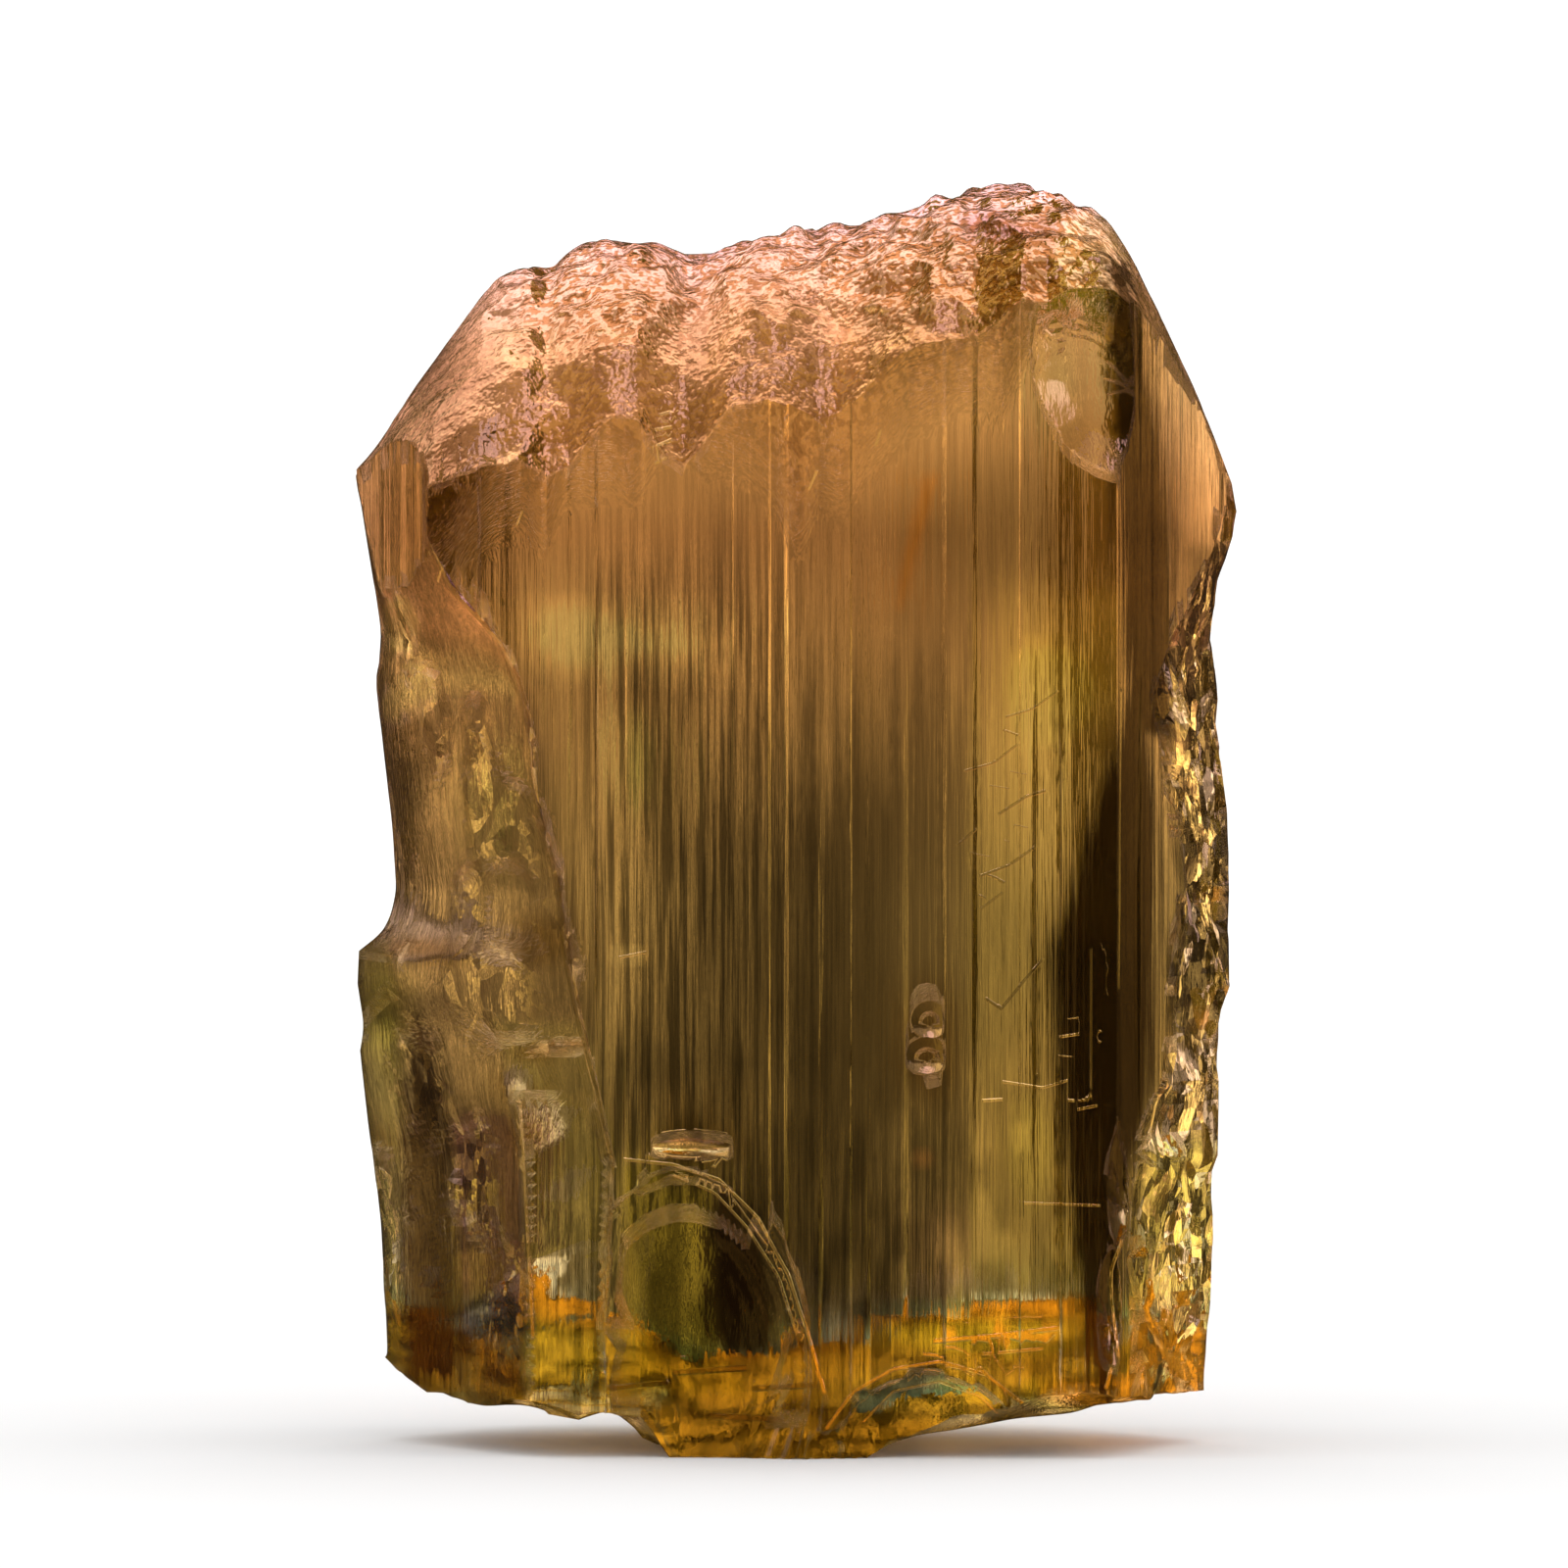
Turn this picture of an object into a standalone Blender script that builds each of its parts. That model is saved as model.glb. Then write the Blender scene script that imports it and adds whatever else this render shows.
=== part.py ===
"""A heliodor crystal: one striated hexagonal prism, etched at its head and broken off at its foot.

Front is -Y and up is +Z. The crystal stands on a flat patch of its broken base, under its middle.
"""

import math
import random

import bmesh
import bpy
from mathutils import Vector, noise

MM = 0.001  # every size below is in millimetres, and meshes are made in metres
NODE = "heliodor_crystal"

# Driving dimensions of the prism: its six corners from above, anticlockwise from the front left.
FRONT_Y = -10.9
BACK_Y = 10.9
CORNERS = (
    (-14.4, FRONT_Y),
    (12.5, FRONT_Y),
    (17.9, -1.6),
    (10.7, BACK_Y),
    (-11.7, BACK_Y),
    (-17.8, 0.4),
)
# Growth steps on each prism face, in the order of the corners, and how deep they go.
FACE_STEPS = ((25, 0.26), (7, 0.24), (9, 0.3), (14, 0.34), (7, 0.3), (6, 0.24))
RISER_SHARE = (0.12, 0.2)  # of a step's width, that its steep riser takes
CORNER_SHARE = 0.035  # of a face's width, that stays free of steps at each corner
STEP_FADE = 14.0  # height over which a growth step changes its depth
STEP_FADE_SHARE = 0.7
ROW_COUNT = 14
LOWEST_ROW = -2.0
HIGHEST_ROW = 53.0

# Outlines of the crystal from the front, as (height, x) up its sides and (x, height) along its ends.
LEFT_EDGE = (
    (-3.0, -16.3), (3.8, -16.4), (8.4, -16.6), (12.5, -17.1), (15.5, -17.4), (16.7, -17.2),
    (18.4, -17.5), (19.6, -17.4), (20.2, -16.6), (20.8, -16.2), (22.0, -16.0), (24.9, -16.2),
    (27.2, -16.5), (30.7, -16.8), (31.9, -16.5), (34.3, -16.9), (38.4, -17.5), (54.0, -17.5),
)
RIGHT_EDGE = (
    (-3.0, 16.2), (2.0, 16.2), (8.0, 16.5), (10.8, 16.5), (11.4, 16.8), (17.2, 16.8),
    (18.4, 17.1), (21.9, 17.2), (25.0, 17.1), (27.2, 16.9), (29.5, 16.8), (31.9, 16.4),
    (33.7, 16.6), (34.8, 16.9), (36.0, 17.3), (37.2, 17.5), (38.4, 17.2), (54.0, 17.0),
)
HEAD_EDGE = (
    (-20.0, 35.0), (-17.6, 38.6), (-16.6, 39.6), (-16.0, 40.7), (-14.8, 42.5), (-13.0, 44.9),
    (-12.0, 46.3), (-11.0, 46.8), (-9.8, 46.8), (-8.7, 47.7), (-7.5, 47.9), (-5.7, 47.8),
    (-4.5, 47.3), (-3.4, 47.2), (-2.2, 47.9), (-0.4, 48.2), (0.7, 48.1), (1.3, 48.5),
    (2.5, 48.3), (3.7, 48.8), (5.4, 49.3), (7.2, 49.8), (8.3, 50.0), (9.0, 49.9),
    (9.9, 49.6), (11.3, 49.4), (12.5, 48.5), (13.7, 46.5), (14.8, 44.1), (15.7, 42.2),
    (16.6, 40.0), (17.6, 37.2), (20.0, 33.0),
)
FOOT_EDGE = (
    (-20.0, 6.0), (-16.5, 3.5), (-15.6, 2.6), (-14.7, 2.0), (-13.9, 1.8), (-9.2, 1.4),
    (-7.5, 1.15), (-6.6, 0.95), (-6.3, 0.1), (-5.8, -0.3), (2.9, -0.3), (3.5, 0.35),
    (4.2, 0.5), (6.0, 0.75), (8.9, 1.3), (10.7, 1.3), (12.4, 2.0), (15.3, 2.1),
    (20.0, 1.9),
)

# The etched head: its ridge runs along X, and it falls away in rounded slopes to the front and back.
RIDGE_Y = 1.5
HEAD_FALL_FRONT = (
    (-18.0, 4.0), (-14.0, 7.5), (-12.0, 10.5), (-9.0, 12.0), (-6.6, 9.8), (-4.8, 12.2),
    (-2.6, 9.6), (-0.6, 9.4), (1.2, 11.6), (3.0, 8.6), (5.2, 7.6), (7.0, 8.4),
    (9.0, 6.0), (12.5, 4.5), (18.0, 3.0),
)
HEAD_FALL_BACK = 6.5
ROUNDING = 0.97  # how near to upright the head's slope gets at the prism faces, 1 being upright
HEAD_CELL = 0.88
LUMP_SIZE, LUMP_DEPTH = 4.5, 0.7
PIT_SIZE, PIT_DEPTH = 1.5, 0.5
SHOULDERS = (-11.5, 13.0)  # beyond these the head is a smooth bevel, with shallow pits
SHOULDER_PITS = 0.25
PIT_ALLOWANCE = 0.12  # the head stands this much above its outline before the pits go in
HEAD_TOP = 58.0
RELIEF_HALF_X, RELIEF_HALF_Y = 19.5, 13.0  # the head's and foot's cutters reach past the prism

# The broken foot: a flat resting patch, and behind it a shell-like break that rises to the back.
FOOT_CELL = 1.2
REST_MIDDLE_X = -1.6
REST_WAVE_SHARE, REST_WAVE_LENGTH = 0.5, 5.0  # how the patch's sides waver along Y
REST_END_WAVE = 1.5  # how far its front and back ends waver
REST_FRONT_Y, REST_BACK_Y = -9.2, 4.2
FOOT_RISE_FRONT, FOOT_RISE_BACK = 0.5, 4.4
SHELL_DEPTH, SHELL_SIZE = 1.4, 4.4
FOOT_BOTTOM = -8.0
FLOOR_SIZE = 60.0

# The left break, where the front left edge has come away: (height, x of its rim on the front face).
LEFT_RIM = (
    (-3.0, -7.1), (5.0, -7.2), (11.6, -7.0), (12.6, -7.2), (16.6, -8.1), (19.5, -8.7),
    (22.5, -9.2), (25.0, -9.9), (28.5, -10.3), (30.5, -10.7), (32.0, -11.5), (34.0, -13.4),
    (36.5, -14.6), (39.0, -15.4), (54.0, -16.0),
)
LEFT_BREAK_LOW, LEFT_BREAK_HIGH = 11.0, 19.0  # the ledge passes into the hollow between these
LEDGE_DEPTH = 0.75
LEDGE_END_X = -10.6  # where the ledge under the rim meets the flank
HOLLOW = ((-0.3, 0.6), (-1.6, 1.3), (-3.0, 2.5), (-4.4, 4.4), (-5.6, 6.8))  # (x, y) from the rim
HOLLOW_SPAN = 6.5  # x from the rim to the edge that these points are for
LEFT_SIDE_Y = (0.4, 2.4, 6.0)  # where the break meets the flank behind it, and beyond
SIDE_LEAN = (0.0, 0.1, 0.6)  # how far inside the outline it is there
# The right break, a rough strip: (height, x of its rim on the right front face).
RIGHT_RIM = (
    (-3.0, 13.0), (3.9, 13.0), (8.2, 12.9), (12.5, 13.3), (14.5, 14.3), (22.3, 14.7),
    (26.0, 14.4), (30.0, 13.9), (32.4, 15.0), (35.5, 16.5), (38.0, 17.3), (54.0, 17.6),
)
RIGHT_SIDE_Y = (-1.0, 1.4, 6.0)
BREAK_ROW_SPACING = 1.9
BREAK_ROW_GAP = 0.4  # rows nearer to each other than this are left out
BREAK_GRAIN = 2.1
LEFT_ROUGHNESS, RIGHT_ROUGHNESS = 0.44, 0.66
RIGHT_SCOOP = 0.35
SIDE_REACH = 26.0  # how far out and forward the breaks' cutters go

# Shell-like chips: (x, z) of each one's middle on the front plane, half its width and height there,
# its depth, and how high the ripples round its middle are.
CHIPS = {
    "lower_left_chip": (-4.4, 3.6, 5.1, 8.0, 1.2, 0.1),
    "lower_left_ledge": (-4.0, 12.2, 1.8, 0.4, 0.5, 0.0),
    "foot_chip": (5.0, -0.2, 4.1, 3.9, 1.4, 0.1),
    "foot_chip_small": (1.7, 0.2, 1.6, 1.4, 0.6, 0.0),
    "foot_corner_chip": (9.6, 1.2, 1.1, 1.0, 0.6, 0.0),
    "upper_right_chip": (13.2, 43.6, 4.3, 5.2, 1.5, 0.08),
    "right_edge_chip_high": (12.9, 10.7, 0.8, 2.7, 1.1, 0.0),
    "right_edge_chip_low": (12.4, 6.0, 0.7, 2.4, 0.7, 0.0),
    "etched_dimple_high": (5.2, 17.2, 0.8, 0.8, 0.25, 0.0),
    "etched_dimple_low": (5.1, 15.8, 0.95, 0.8, 0.3, 0.0),
}
CHIP_RING_WIDTH = 0.85
CHIP_RINGS = (3, 9)  # the fewest and the most rings of a chip
CHIP_SEGMENTS = 26
CHIP_SEGMENTS_SMALL = 12
CHIP_SMALL = 2.0  # a chip under this half height has few segments
CHIP_FLARE = 1.2  # how far beyond its outline a chip's cutter goes on, rising off the front plane
CHIP_HEADROOM = 3.0
STRIKE_SHARE = 0.35  # how far below its middle the innermost ripple of a chip lies

SEED = 11
CRYSTAL_COLOUR = (0.62, 0.40, 0.12, 1.0)
CRYSTAL_ROUGHNESS = 0.08
CRYSTAL_IOR = 1.577


def along(outline, place):
    """The value of an outline, given as (place, value) pairs, at a place between its points."""
    if place <= outline[0][0]:
        return outline[0][1]
    for (before, low), (after, high) in zip(outline, outline[1:]):
        if place <= after:
            return low + (high - low) * (place - before) / (after - before)
    return outline[-1][1]


def blend(low, high, value):
    """0 below low, 1 above high, and a smooth change between them."""
    share = min(1.0, max(0.0, (value - low) / (high - low)))
    return share * share * (3 - 2 * share)


def spaced(low, high, count):
    """Evenly spaced values from low to high, with both ends."""
    return [low + (high - low) * i / (count - 1) for i in range(count)]


# Meshes and cutters


def new_object(name, mesh, collection):
    made = bpy.data.objects.new(name, mesh)
    collection.objects.link(made)
    return made


def loft(name, rings, collection):
    """A closed body through rings of equally many points, in millimetres, listed from below."""
    mesh = bpy.data.meshes.new(name)
    shape = bmesh.new()
    loops = [[shape.verts.new(Vector(point) * MM) for point in ring] for ring in rings]
    for lower, upper in zip(loops, loops[1:]):
        for i, start in enumerate(lower):
            after = (i + 1) % len(lower)
            shape.faces.new((start, lower[after], upper[after], upper[i]))
    caps = [shape.faces.new(list(reversed(loops[0]))), shape.faces.new(loops[-1])]
    bmesh.ops.triangulate(shape, faces=caps)
    bmesh.ops.recalc_face_normals(shape, faces=shape.faces)
    shape.to_mesh(mesh)
    shape.free()
    return new_object(name, mesh, collection)


def relief_block(name, cell, height_at, far_z, collection):
    """A block with one uneven side: a grid shaped by height_at(x, y), extruded to the flat far_z."""
    mesh = bpy.data.meshes.new(name)
    shape = bmesh.new()
    bmesh.ops.create_grid(
        shape,
        x_segments=round(2 * RELIEF_HALF_X / cell),
        y_segments=round(2 * RELIEF_HALF_Y / cell),
        size=1.0,
    )
    for vert in shape.verts:
        x = vert.co.x * RELIEF_HALF_X
        y = vert.co.y * RELIEF_HALF_Y
        vert.co = (x, y, height_at(x, y))
    extruded = bmesh.ops.extrude_face_region(shape, geom=list(shape.faces))
    for item in extruded["geom"]:
        if isinstance(item, bmesh.types.BMVert):
            item.co.z = far_z
    bmesh.ops.scale(shape, vec=(MM, MM, MM), verts=shape.verts)
    bmesh.ops.triangulate(shape, faces=shape.faces)
    bmesh.ops.recalc_face_normals(shape, faces=shape.faces)
    shape.to_mesh(mesh)
    shape.free()
    return new_object(name, mesh, collection)


def as_cutter(cutter):
    cutter.hide_render = True
    cutter.display_type = "WIRE"
    return cutter


def cut(body, cutter):
    modifier = body.modifiers.new("cut_" + cutter.name, "BOOLEAN")
    modifier.operation = "DIFFERENCE"
    modifier.object = as_cutter(cutter)


# The striated prism


def step_profile(rng, count, depth):
    """The growth steps of one face as (share of its width, depth), flat treads with steep risers."""
    widths = [rng.uniform(0.5, 1.5) for _ in range(count)]
    scale = (1 - 2 * CORNER_SHARE) / sum(widths)
    points = []
    reached = CORNER_SHARE
    for width in widths:
        riser = width * rng.uniform(*RISER_SHARE)
        tread_depth = depth * rng.random()
        points.append((reached + riser * scale, tread_depth))
        reached += width * scale
        points.append((reached, tread_depth))
    return points


def prism_ring(height, profiles):
    """The prism's outline at a height, with its growth steps, as points anticlockwise from above."""
    ring = []
    for face, profile in enumerate(profiles):
        start, end = Vector(CORNERS[face]), Vector(CORNERS[(face + 1) % len(CORNERS)])
        edge = end - start
        inward = Vector((-edge.y, edge.x)).normalized()
        ring.append((start.x, start.y, height))
        for step, (share, depth) in enumerate(profile):
            drift = noise.noise((face * 7.0, step // 2 * 3.1, height / STEP_FADE))
            place = start + edge * share + inward * depth * (1 - STEP_FADE_SHARE * (0.5 - drift))
            ring.append((place.x, place.y, height))
    return ring


def make_prism(collection):
    rng = random.Random(SEED)
    profiles = [step_profile(rng, count, depth) for count, depth in FACE_STEPS]
    rows = spaced(LOWEST_ROW, HIGHEST_ROW, ROW_COUNT)
    return loft(NODE, [prism_ring(height, profiles) for height in rows], collection)


# The etched head


def pits(x, y, size, depth):
    """Rounded pits with sharp rims between them: never above zero, and at most depth below it."""
    return -depth * min(1.0, 1.6 * abs(noise.noise((x / size, y / size, 4.3))))


def head_height(x, y):
    """Height of the etched head over the point (x, y)."""
    if y < RIDGE_Y:
        reach = (RIDGE_Y - y) / (RIDGE_Y - FRONT_Y)
        fall = along(HEAD_FALL_FRONT, x)
    else:
        reach = (y - RIDGE_Y) / (BACK_Y - RIDGE_Y)
        fall = HEAD_FALL_BACK
    slope = fall * (1 - math.sqrt(1 - (ROUNDING * min(1.0, reach)) ** 2))
    etched = blend(SHOULDERS[0] - 1.5, SHOULDERS[0], x) * (1 - blend(SHOULDERS[1] - 1, SHOULDERS[1], x))
    rough = SHOULDER_PITS + (1 - SHOULDER_PITS) * etched
    lumps = pits(x + 9.0, y, LUMP_SIZE, LUMP_DEPTH) * blend(0.0, 0.5, reach)
    small = pits(x, y + 5.0, PIT_SIZE, PIT_DEPTH)
    return along(HEAD_EDGE, x) - slope + rough * (lumps + small + PIT_ALLOWANCE)


# The broken foot


def foot_height(x, y):
    """Height of the broken foot over the point (x, y). Below 0 it is part of the resting patch."""
    wave = abs(noise.noise((y / REST_WAVE_LENGTH, 6.6, blend(-1.0, 1.0, x) * 9.0)))
    waver = 1 + REST_WAVE_SHARE * wave * (1 - blend(6.0, 10.0, abs(x)))
    edge = along(FOOT_EDGE, REST_MIDDLE_X + (x - REST_MIDDLE_X) * waver)
    y += REST_END_WAVE * noise.noise((x / REST_WAVE_LENGTH, 2.2, 5.1))
    back = blend(REST_BACK_Y, BACK_Y + 1.5, y) * FOOT_RISE_BACK
    front = blend(-REST_FRONT_Y, -FRONT_Y + 1.0, -y) * FOOT_RISE_FRONT
    waves = abs(noise.noise((x / SHELL_SIZE, y / SHELL_SIZE, 8.8))) * (1 - blend(13.0, 16.0, abs(x)))
    away_from_rest = blend(0.0, 1.0, edge + back)
    return edge + back + front + SHELL_DEPTH * waves * away_from_rest


# The broken sides


def grain(x, y, height):
    """Unevenness of a break, between -1 and 1."""
    return noise.noise((x / BREAK_GRAIN, y / BREAK_GRAIN, height / BREAK_GRAIN))


def left_break_ring(height):
    """Where the left break cuts at a height, from the front face round to the left back face."""
    rim, edge = along(LEFT_RIM, height), along(LEFT_EDGE, height)
    ledge_y = FRONT_Y + LEDGE_DEPTH
    side = [(edge + lean, y) for y, lean in zip(LEFT_SIDE_Y, SIDE_LEAN)]
    side_x, side_y = side[0]
    low = [(rim, FRONT_Y - 0.1), (rim - 0.3, ledge_y), ((rim + LEDGE_END_X) / 2, ledge_y + 0.1)]
    for share in (0.0, 0.33, 0.67):
        x = LEDGE_END_X + (side_x - LEDGE_END_X) * share
        low.append((x, ledge_y + (side_y - ledge_y) * share))
    high = [(rim, FRONT_Y - 0.1)]
    reach = (rim - edge) / HOLLOW_SPAN
    for x, y in HOLLOW:
        high.append((rim + x * reach, FRONT_Y + y))
    share = blend(LEFT_BREAK_LOW, LEFT_BREAK_HIGH, height)
    ring = [(rim + 0.5, -SIDE_REACH), (rim + 0.2, FRONT_Y - 1.0)]
    for i, ((x0, y0), (x1, y1)) in enumerate(zip(low, high)):
        x, y = x0 + (x1 - x0) * share, y0 + (y1 - y0) * share
        rough = LEFT_ROUGHNESS * grain(x, y, height) if i > 1 else 0.0
        ring.append((x, y + rough))
    ring += side
    ring += [(-SIDE_REACH, side[-1][1]), (-SIDE_REACH, -SIDE_REACH)]
    return [(x, y, height) for x, y in reversed(ring)]


def right_flank_y(x):
    """Y of the unbroken right front face at x."""
    (front_x, front_y), (side_x, side_y) = CORNERS[1], CORNERS[2]
    return front_y + (x - front_x) * (side_y - front_y) / (side_x - front_x)


def right_break_ring(height):
    """Where the right break cuts at a height, from the right front face round to the right back face."""
    rim, edge = along(RIGHT_RIM, height), along(RIGHT_EDGE, height)
    rim = min(rim, edge - 0.3)
    rim_y = right_flank_y(rim)
    side = [(edge - lean, y) for y, lean in zip(RIGHT_SIDE_Y, SIDE_LEAN)]
    side_y = side[0][1]
    ring = [(rim - 0.5, -SIDE_REACH), (rim - 0.25, rim_y - 0.6), (rim, rim_y + 0.1)]
    for share in (0.25, 0.5, 0.75):
        x = rim + (edge - rim) * share
        y = rim_y + (side_y - rim_y) * share
        scoop = RIGHT_SCOOP * math.sin(math.pi * share)
        ring.append((x - scoop + RIGHT_ROUGHNESS * grain(x, y, height), y))
    ring += side
    ring += [(SIDE_REACH, side[-1][1]), (SIDE_REACH, -SIDE_REACH)]
    return [(x, y, height) for x, y in ring]


def side_break(name, ring_at, outlines, collection):
    """A cutter lofted up one side, with a ring at every point of its outlines and some between."""
    rows = spaced(LOWEST_ROW - 0.7, HIGHEST_ROW + 0.7, round(HIGHEST_ROW / BREAK_ROW_SPACING))
    rows += [height for outline in outlines for height, _ in outline if rows[0] < height < rows[-1]]
    kept = []
    for height in sorted(rows):
        if not kept or height - kept[-1] > BREAK_ROW_GAP:
            kept.append(height)
    return loft(name, [ring_at(height) for height in kept], collection)


def chip_cutter(name, middle_x, middle_z, half_width, half_height, depth, ripple, collection):
    """A rippled dish that meets the front plane in an ellipse and goes depth behind it."""
    ring_count = min(CHIP_RINGS[1], max(CHIP_RINGS[0], round(half_height / CHIP_RING_WIDTH)))
    segments = CHIP_SEGMENTS_SMALL if half_height < CHIP_SMALL else CHIP_SEGMENTS
    rings = []
    for i in range(ring_count + 2):
        reach = CHIP_FLARE * min(ring_count, i + 0.15) / ring_count
        y = FRONT_Y + depth * (1 - reach**2) + ripple * reach * (i % 2 - 0.5)
        if i > ring_count:
            y -= CHIP_HEADROOM
        middle = middle_z - STRIKE_SHARE * half_height * max(0.0, 1 - reach)
        ring = []
        for angle in spaced(0, 2 * math.pi, segments + 1)[:-1]:
            x = middle_x + half_width * reach * math.cos(angle)
            ring.append((x, y, middle + half_height * reach * math.sin(angle)))
        rings.append(ring)
    return loft(name, rings, collection)


def moved_to(made, name, collection):
    made.name = name
    for owner in made.users_collection:
        owner.objects.unlink(made)
    collection.objects.link(made)
    return made


def floor_cutter(collection):
    """A block whose top is the plane the crystal rests on."""
    size = FLOOR_SIZE * MM
    bpy.ops.mesh.primitive_cube_add(size=size, location=(0, 0, -size / 2))
    return moved_to(bpy.context.object, "resting_plane", collection)


def crystal_material():
    material = bpy.data.materials.new("heliodor")
    material.use_nodes = True
    surface = material.node_tree.nodes["Principled BSDF"]
    surface.inputs["Base Color"].default_value = CRYSTAL_COLOUR
    surface.inputs["Roughness"].default_value = CRYSTAL_ROUGHNESS
    surface.inputs["Metallic"].default_value = 0.0
    surface.inputs["IOR"].default_value = CRYSTAL_IOR
    surface.inputs["Transmission Weight"].default_value = 1.0
    return material


def main():
    for old in list(bpy.data.objects):
        bpy.data.objects.remove(old)
    noise.seed_set(SEED)
    scene = bpy.context.scene
    parts = bpy.data.collections.new("heliodor_crystal_cluster")
    cutters = bpy.data.collections.new("cutters")
    scene.collection.children.link(parts)
    scene.collection.children.link(cutters)

    crystal = make_prism(parts)
    cut(crystal, side_break("left_break", left_break_ring, (LEFT_EDGE, LEFT_RIM), cutters))
    cut(crystal, side_break("right_break", right_break_ring, (RIGHT_EDGE, RIGHT_RIM), cutters))
    cut(crystal, relief_block("etched_head", HEAD_CELL, head_height, HEAD_TOP, cutters))
    cut(crystal, relief_block("broken_foot", FOOT_CELL, foot_height, FOOT_BOTTOM, cutters))
    for name, sizes in CHIPS.items():
        cut(crystal, chip_cutter(name, *sizes, cutters))
    cut(crystal, floor_cutter(cutters))
    crystal.data.materials.append(crystal_material())


main()
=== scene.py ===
"""The looks of the heliodor crystal: its fine relief, its honey-brown body and a plain studio.

Front is -Y and up is +Z. The crystal's own sizes are in millimetres, and the studio's in metres.
"""

import math
from types import SimpleNamespace

import bmesh
import bpy
import numpy as np
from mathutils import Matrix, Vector


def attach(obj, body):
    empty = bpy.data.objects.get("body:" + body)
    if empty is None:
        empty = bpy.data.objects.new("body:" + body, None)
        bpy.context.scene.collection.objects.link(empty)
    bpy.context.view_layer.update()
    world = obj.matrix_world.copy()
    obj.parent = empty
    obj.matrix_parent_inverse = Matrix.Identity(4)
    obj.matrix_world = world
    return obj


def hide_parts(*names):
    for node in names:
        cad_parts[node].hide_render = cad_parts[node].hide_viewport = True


MM = 0.001
NODE = "heliodor_crystal"
PIECE = "heliodor_prism"

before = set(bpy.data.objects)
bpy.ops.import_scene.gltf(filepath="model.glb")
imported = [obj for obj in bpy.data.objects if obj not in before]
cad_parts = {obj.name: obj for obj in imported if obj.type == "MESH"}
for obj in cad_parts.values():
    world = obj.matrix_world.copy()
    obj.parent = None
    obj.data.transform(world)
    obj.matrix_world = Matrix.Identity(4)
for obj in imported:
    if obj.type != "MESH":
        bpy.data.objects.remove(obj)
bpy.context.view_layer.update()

# The photograph's frame: its size in pixels, its scale, and the pixel under the crystal's origin.
PHOTO_SIZE = 1600
MM_PER_PIXEL = 0.03897
ORIGIN_PIXEL = (812.5, 1471.0)

# The prism's corners from above, as in the part, anticlockwise from the front left.
FRONT_Y, BACK_Y = -10.9, 10.9
CORNERS = (
    (-14.4, FRONT_Y), (12.5, FRONT_Y), (17.9, -1.6),
    (10.7, BACK_Y), (-11.7, BACK_Y), (-17.8, 0.4),
)
LEDGE = ((-10.6, -7.0), 16.0, 1.1)  # the striated ledge under the left rim: x range, top, depth
HEAD_LOWEST = 32.0
FOOT_HIGHEST = 8.0

# What tells the kinds of surface apart. A grown face lies this near to a prism face, because of
# its growth steps, and looks squarely its way or stands upright. The others look up or down.
STEP_DEPTH = 0.5
LEAST_FACING, SQUARE_FACING = 0.2, 0.985
UPRIGHT = 0.04
LEDGE_FACING = 0.9
HEAD_SLOPE, FOOT_SLOPE = 0.12, 0.2

# Where the mesh is divided once more, and from what length of edge: the head's front slope, and
# what looks forward on the front.
HEAD_FINE_Y, HEAD_FINE_EDGE = -2.0, 0.2
FRONT_FINE_Y, FRONT_FINE_EDGE, FRONT_FINE_FACING = -8.0, 0.5, 0.4

# Shell-like chips, as (x, z) of the middle and half the width and height.
LOWER_CHIP = ((-4.4, 3.6), (5.1, 8.0))
FOOT_CHIP = ((5.0, -0.2), (4.1, 3.9))
SMOOTH_SHELL = ((11.0, 41.2), (2.6, 3.4))  # the upper right chip that the etching has spared

# Regions, each from where it begins to where it is full.
FRONT_DEPTH = (1.5, 0.8)  # behind the front plane
SHOULDER_WIDTH = 2.0
SHOULDERS = (-12.0, 13.0)
RIGHT_BREAK_X, RIGHT_BREAK_Z = (12.5, 14.5), (37.0, 34.0)
BLOCK_Z = (3.0, 6.5)  # the smoother block at the right break's foot
LEFT_BREAK_X = (-6.0, -8.0)
RIM_DEPTH = 2.5  # how far behind the front plane the left rim's wear ends
STREAKED_LEFT, STREAKED_RIGHT, STREAKED_TOP = (-9.5, -7.0), (3.0, -3.0), (38.0, 32.0)
STREAKED_LOW_X, STREAKED_LOW_Z = (9.0, 6.0), (16.0, 9.0)
PATCHY_Z, PATCHY_X = (20.0, 9.0), (-8.0, -6.0)
# Where the etched flecks' painted highlights turn pink, at the top.
PINK_HIGHLIGHT_TOP = (43.0, 46.0)

# Where the etching ends on the front face, as (x, z), and how far it fades above and below that.
ETCH_LINE = (
    (-15.0, 33.0), (-12.2, 36.3), (-10.0, 37.5), (-8.3, 38.5), (-6.6, 38.0), (-4.6, 40.0),
    (-2.0, 39.2), (0.4, 37.4), (2.0, 38.6), (3.6, 41.0), (5.6, 41.8), (7.6, 42.5), (9.2, 44.5),
    (12.0, 47.0), (18.0, 48.0),
)
ETCH_RISE, ETCH_FADE = 0.52, 2.5

SHARP_ANGLE = math.radians(34)
BREAK_ANGLE, BREAK_ROUNDS = math.radians(40), 8
HEAD_ANGLE, HEAD_ROUNDS = math.radians(50), 3

# Grooves of the prism faces: pitch, length, depth and seed, and how far apart in the noise the
# faces are, across and by layer, so that no two are alike.
GROOVES = ((0.9, 9.0, 0.035, 3), (0.4, 5.0, 0.025, 5))
FACE_SHIFT, FACE_LAYERS = 97.0, 3.0
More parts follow.
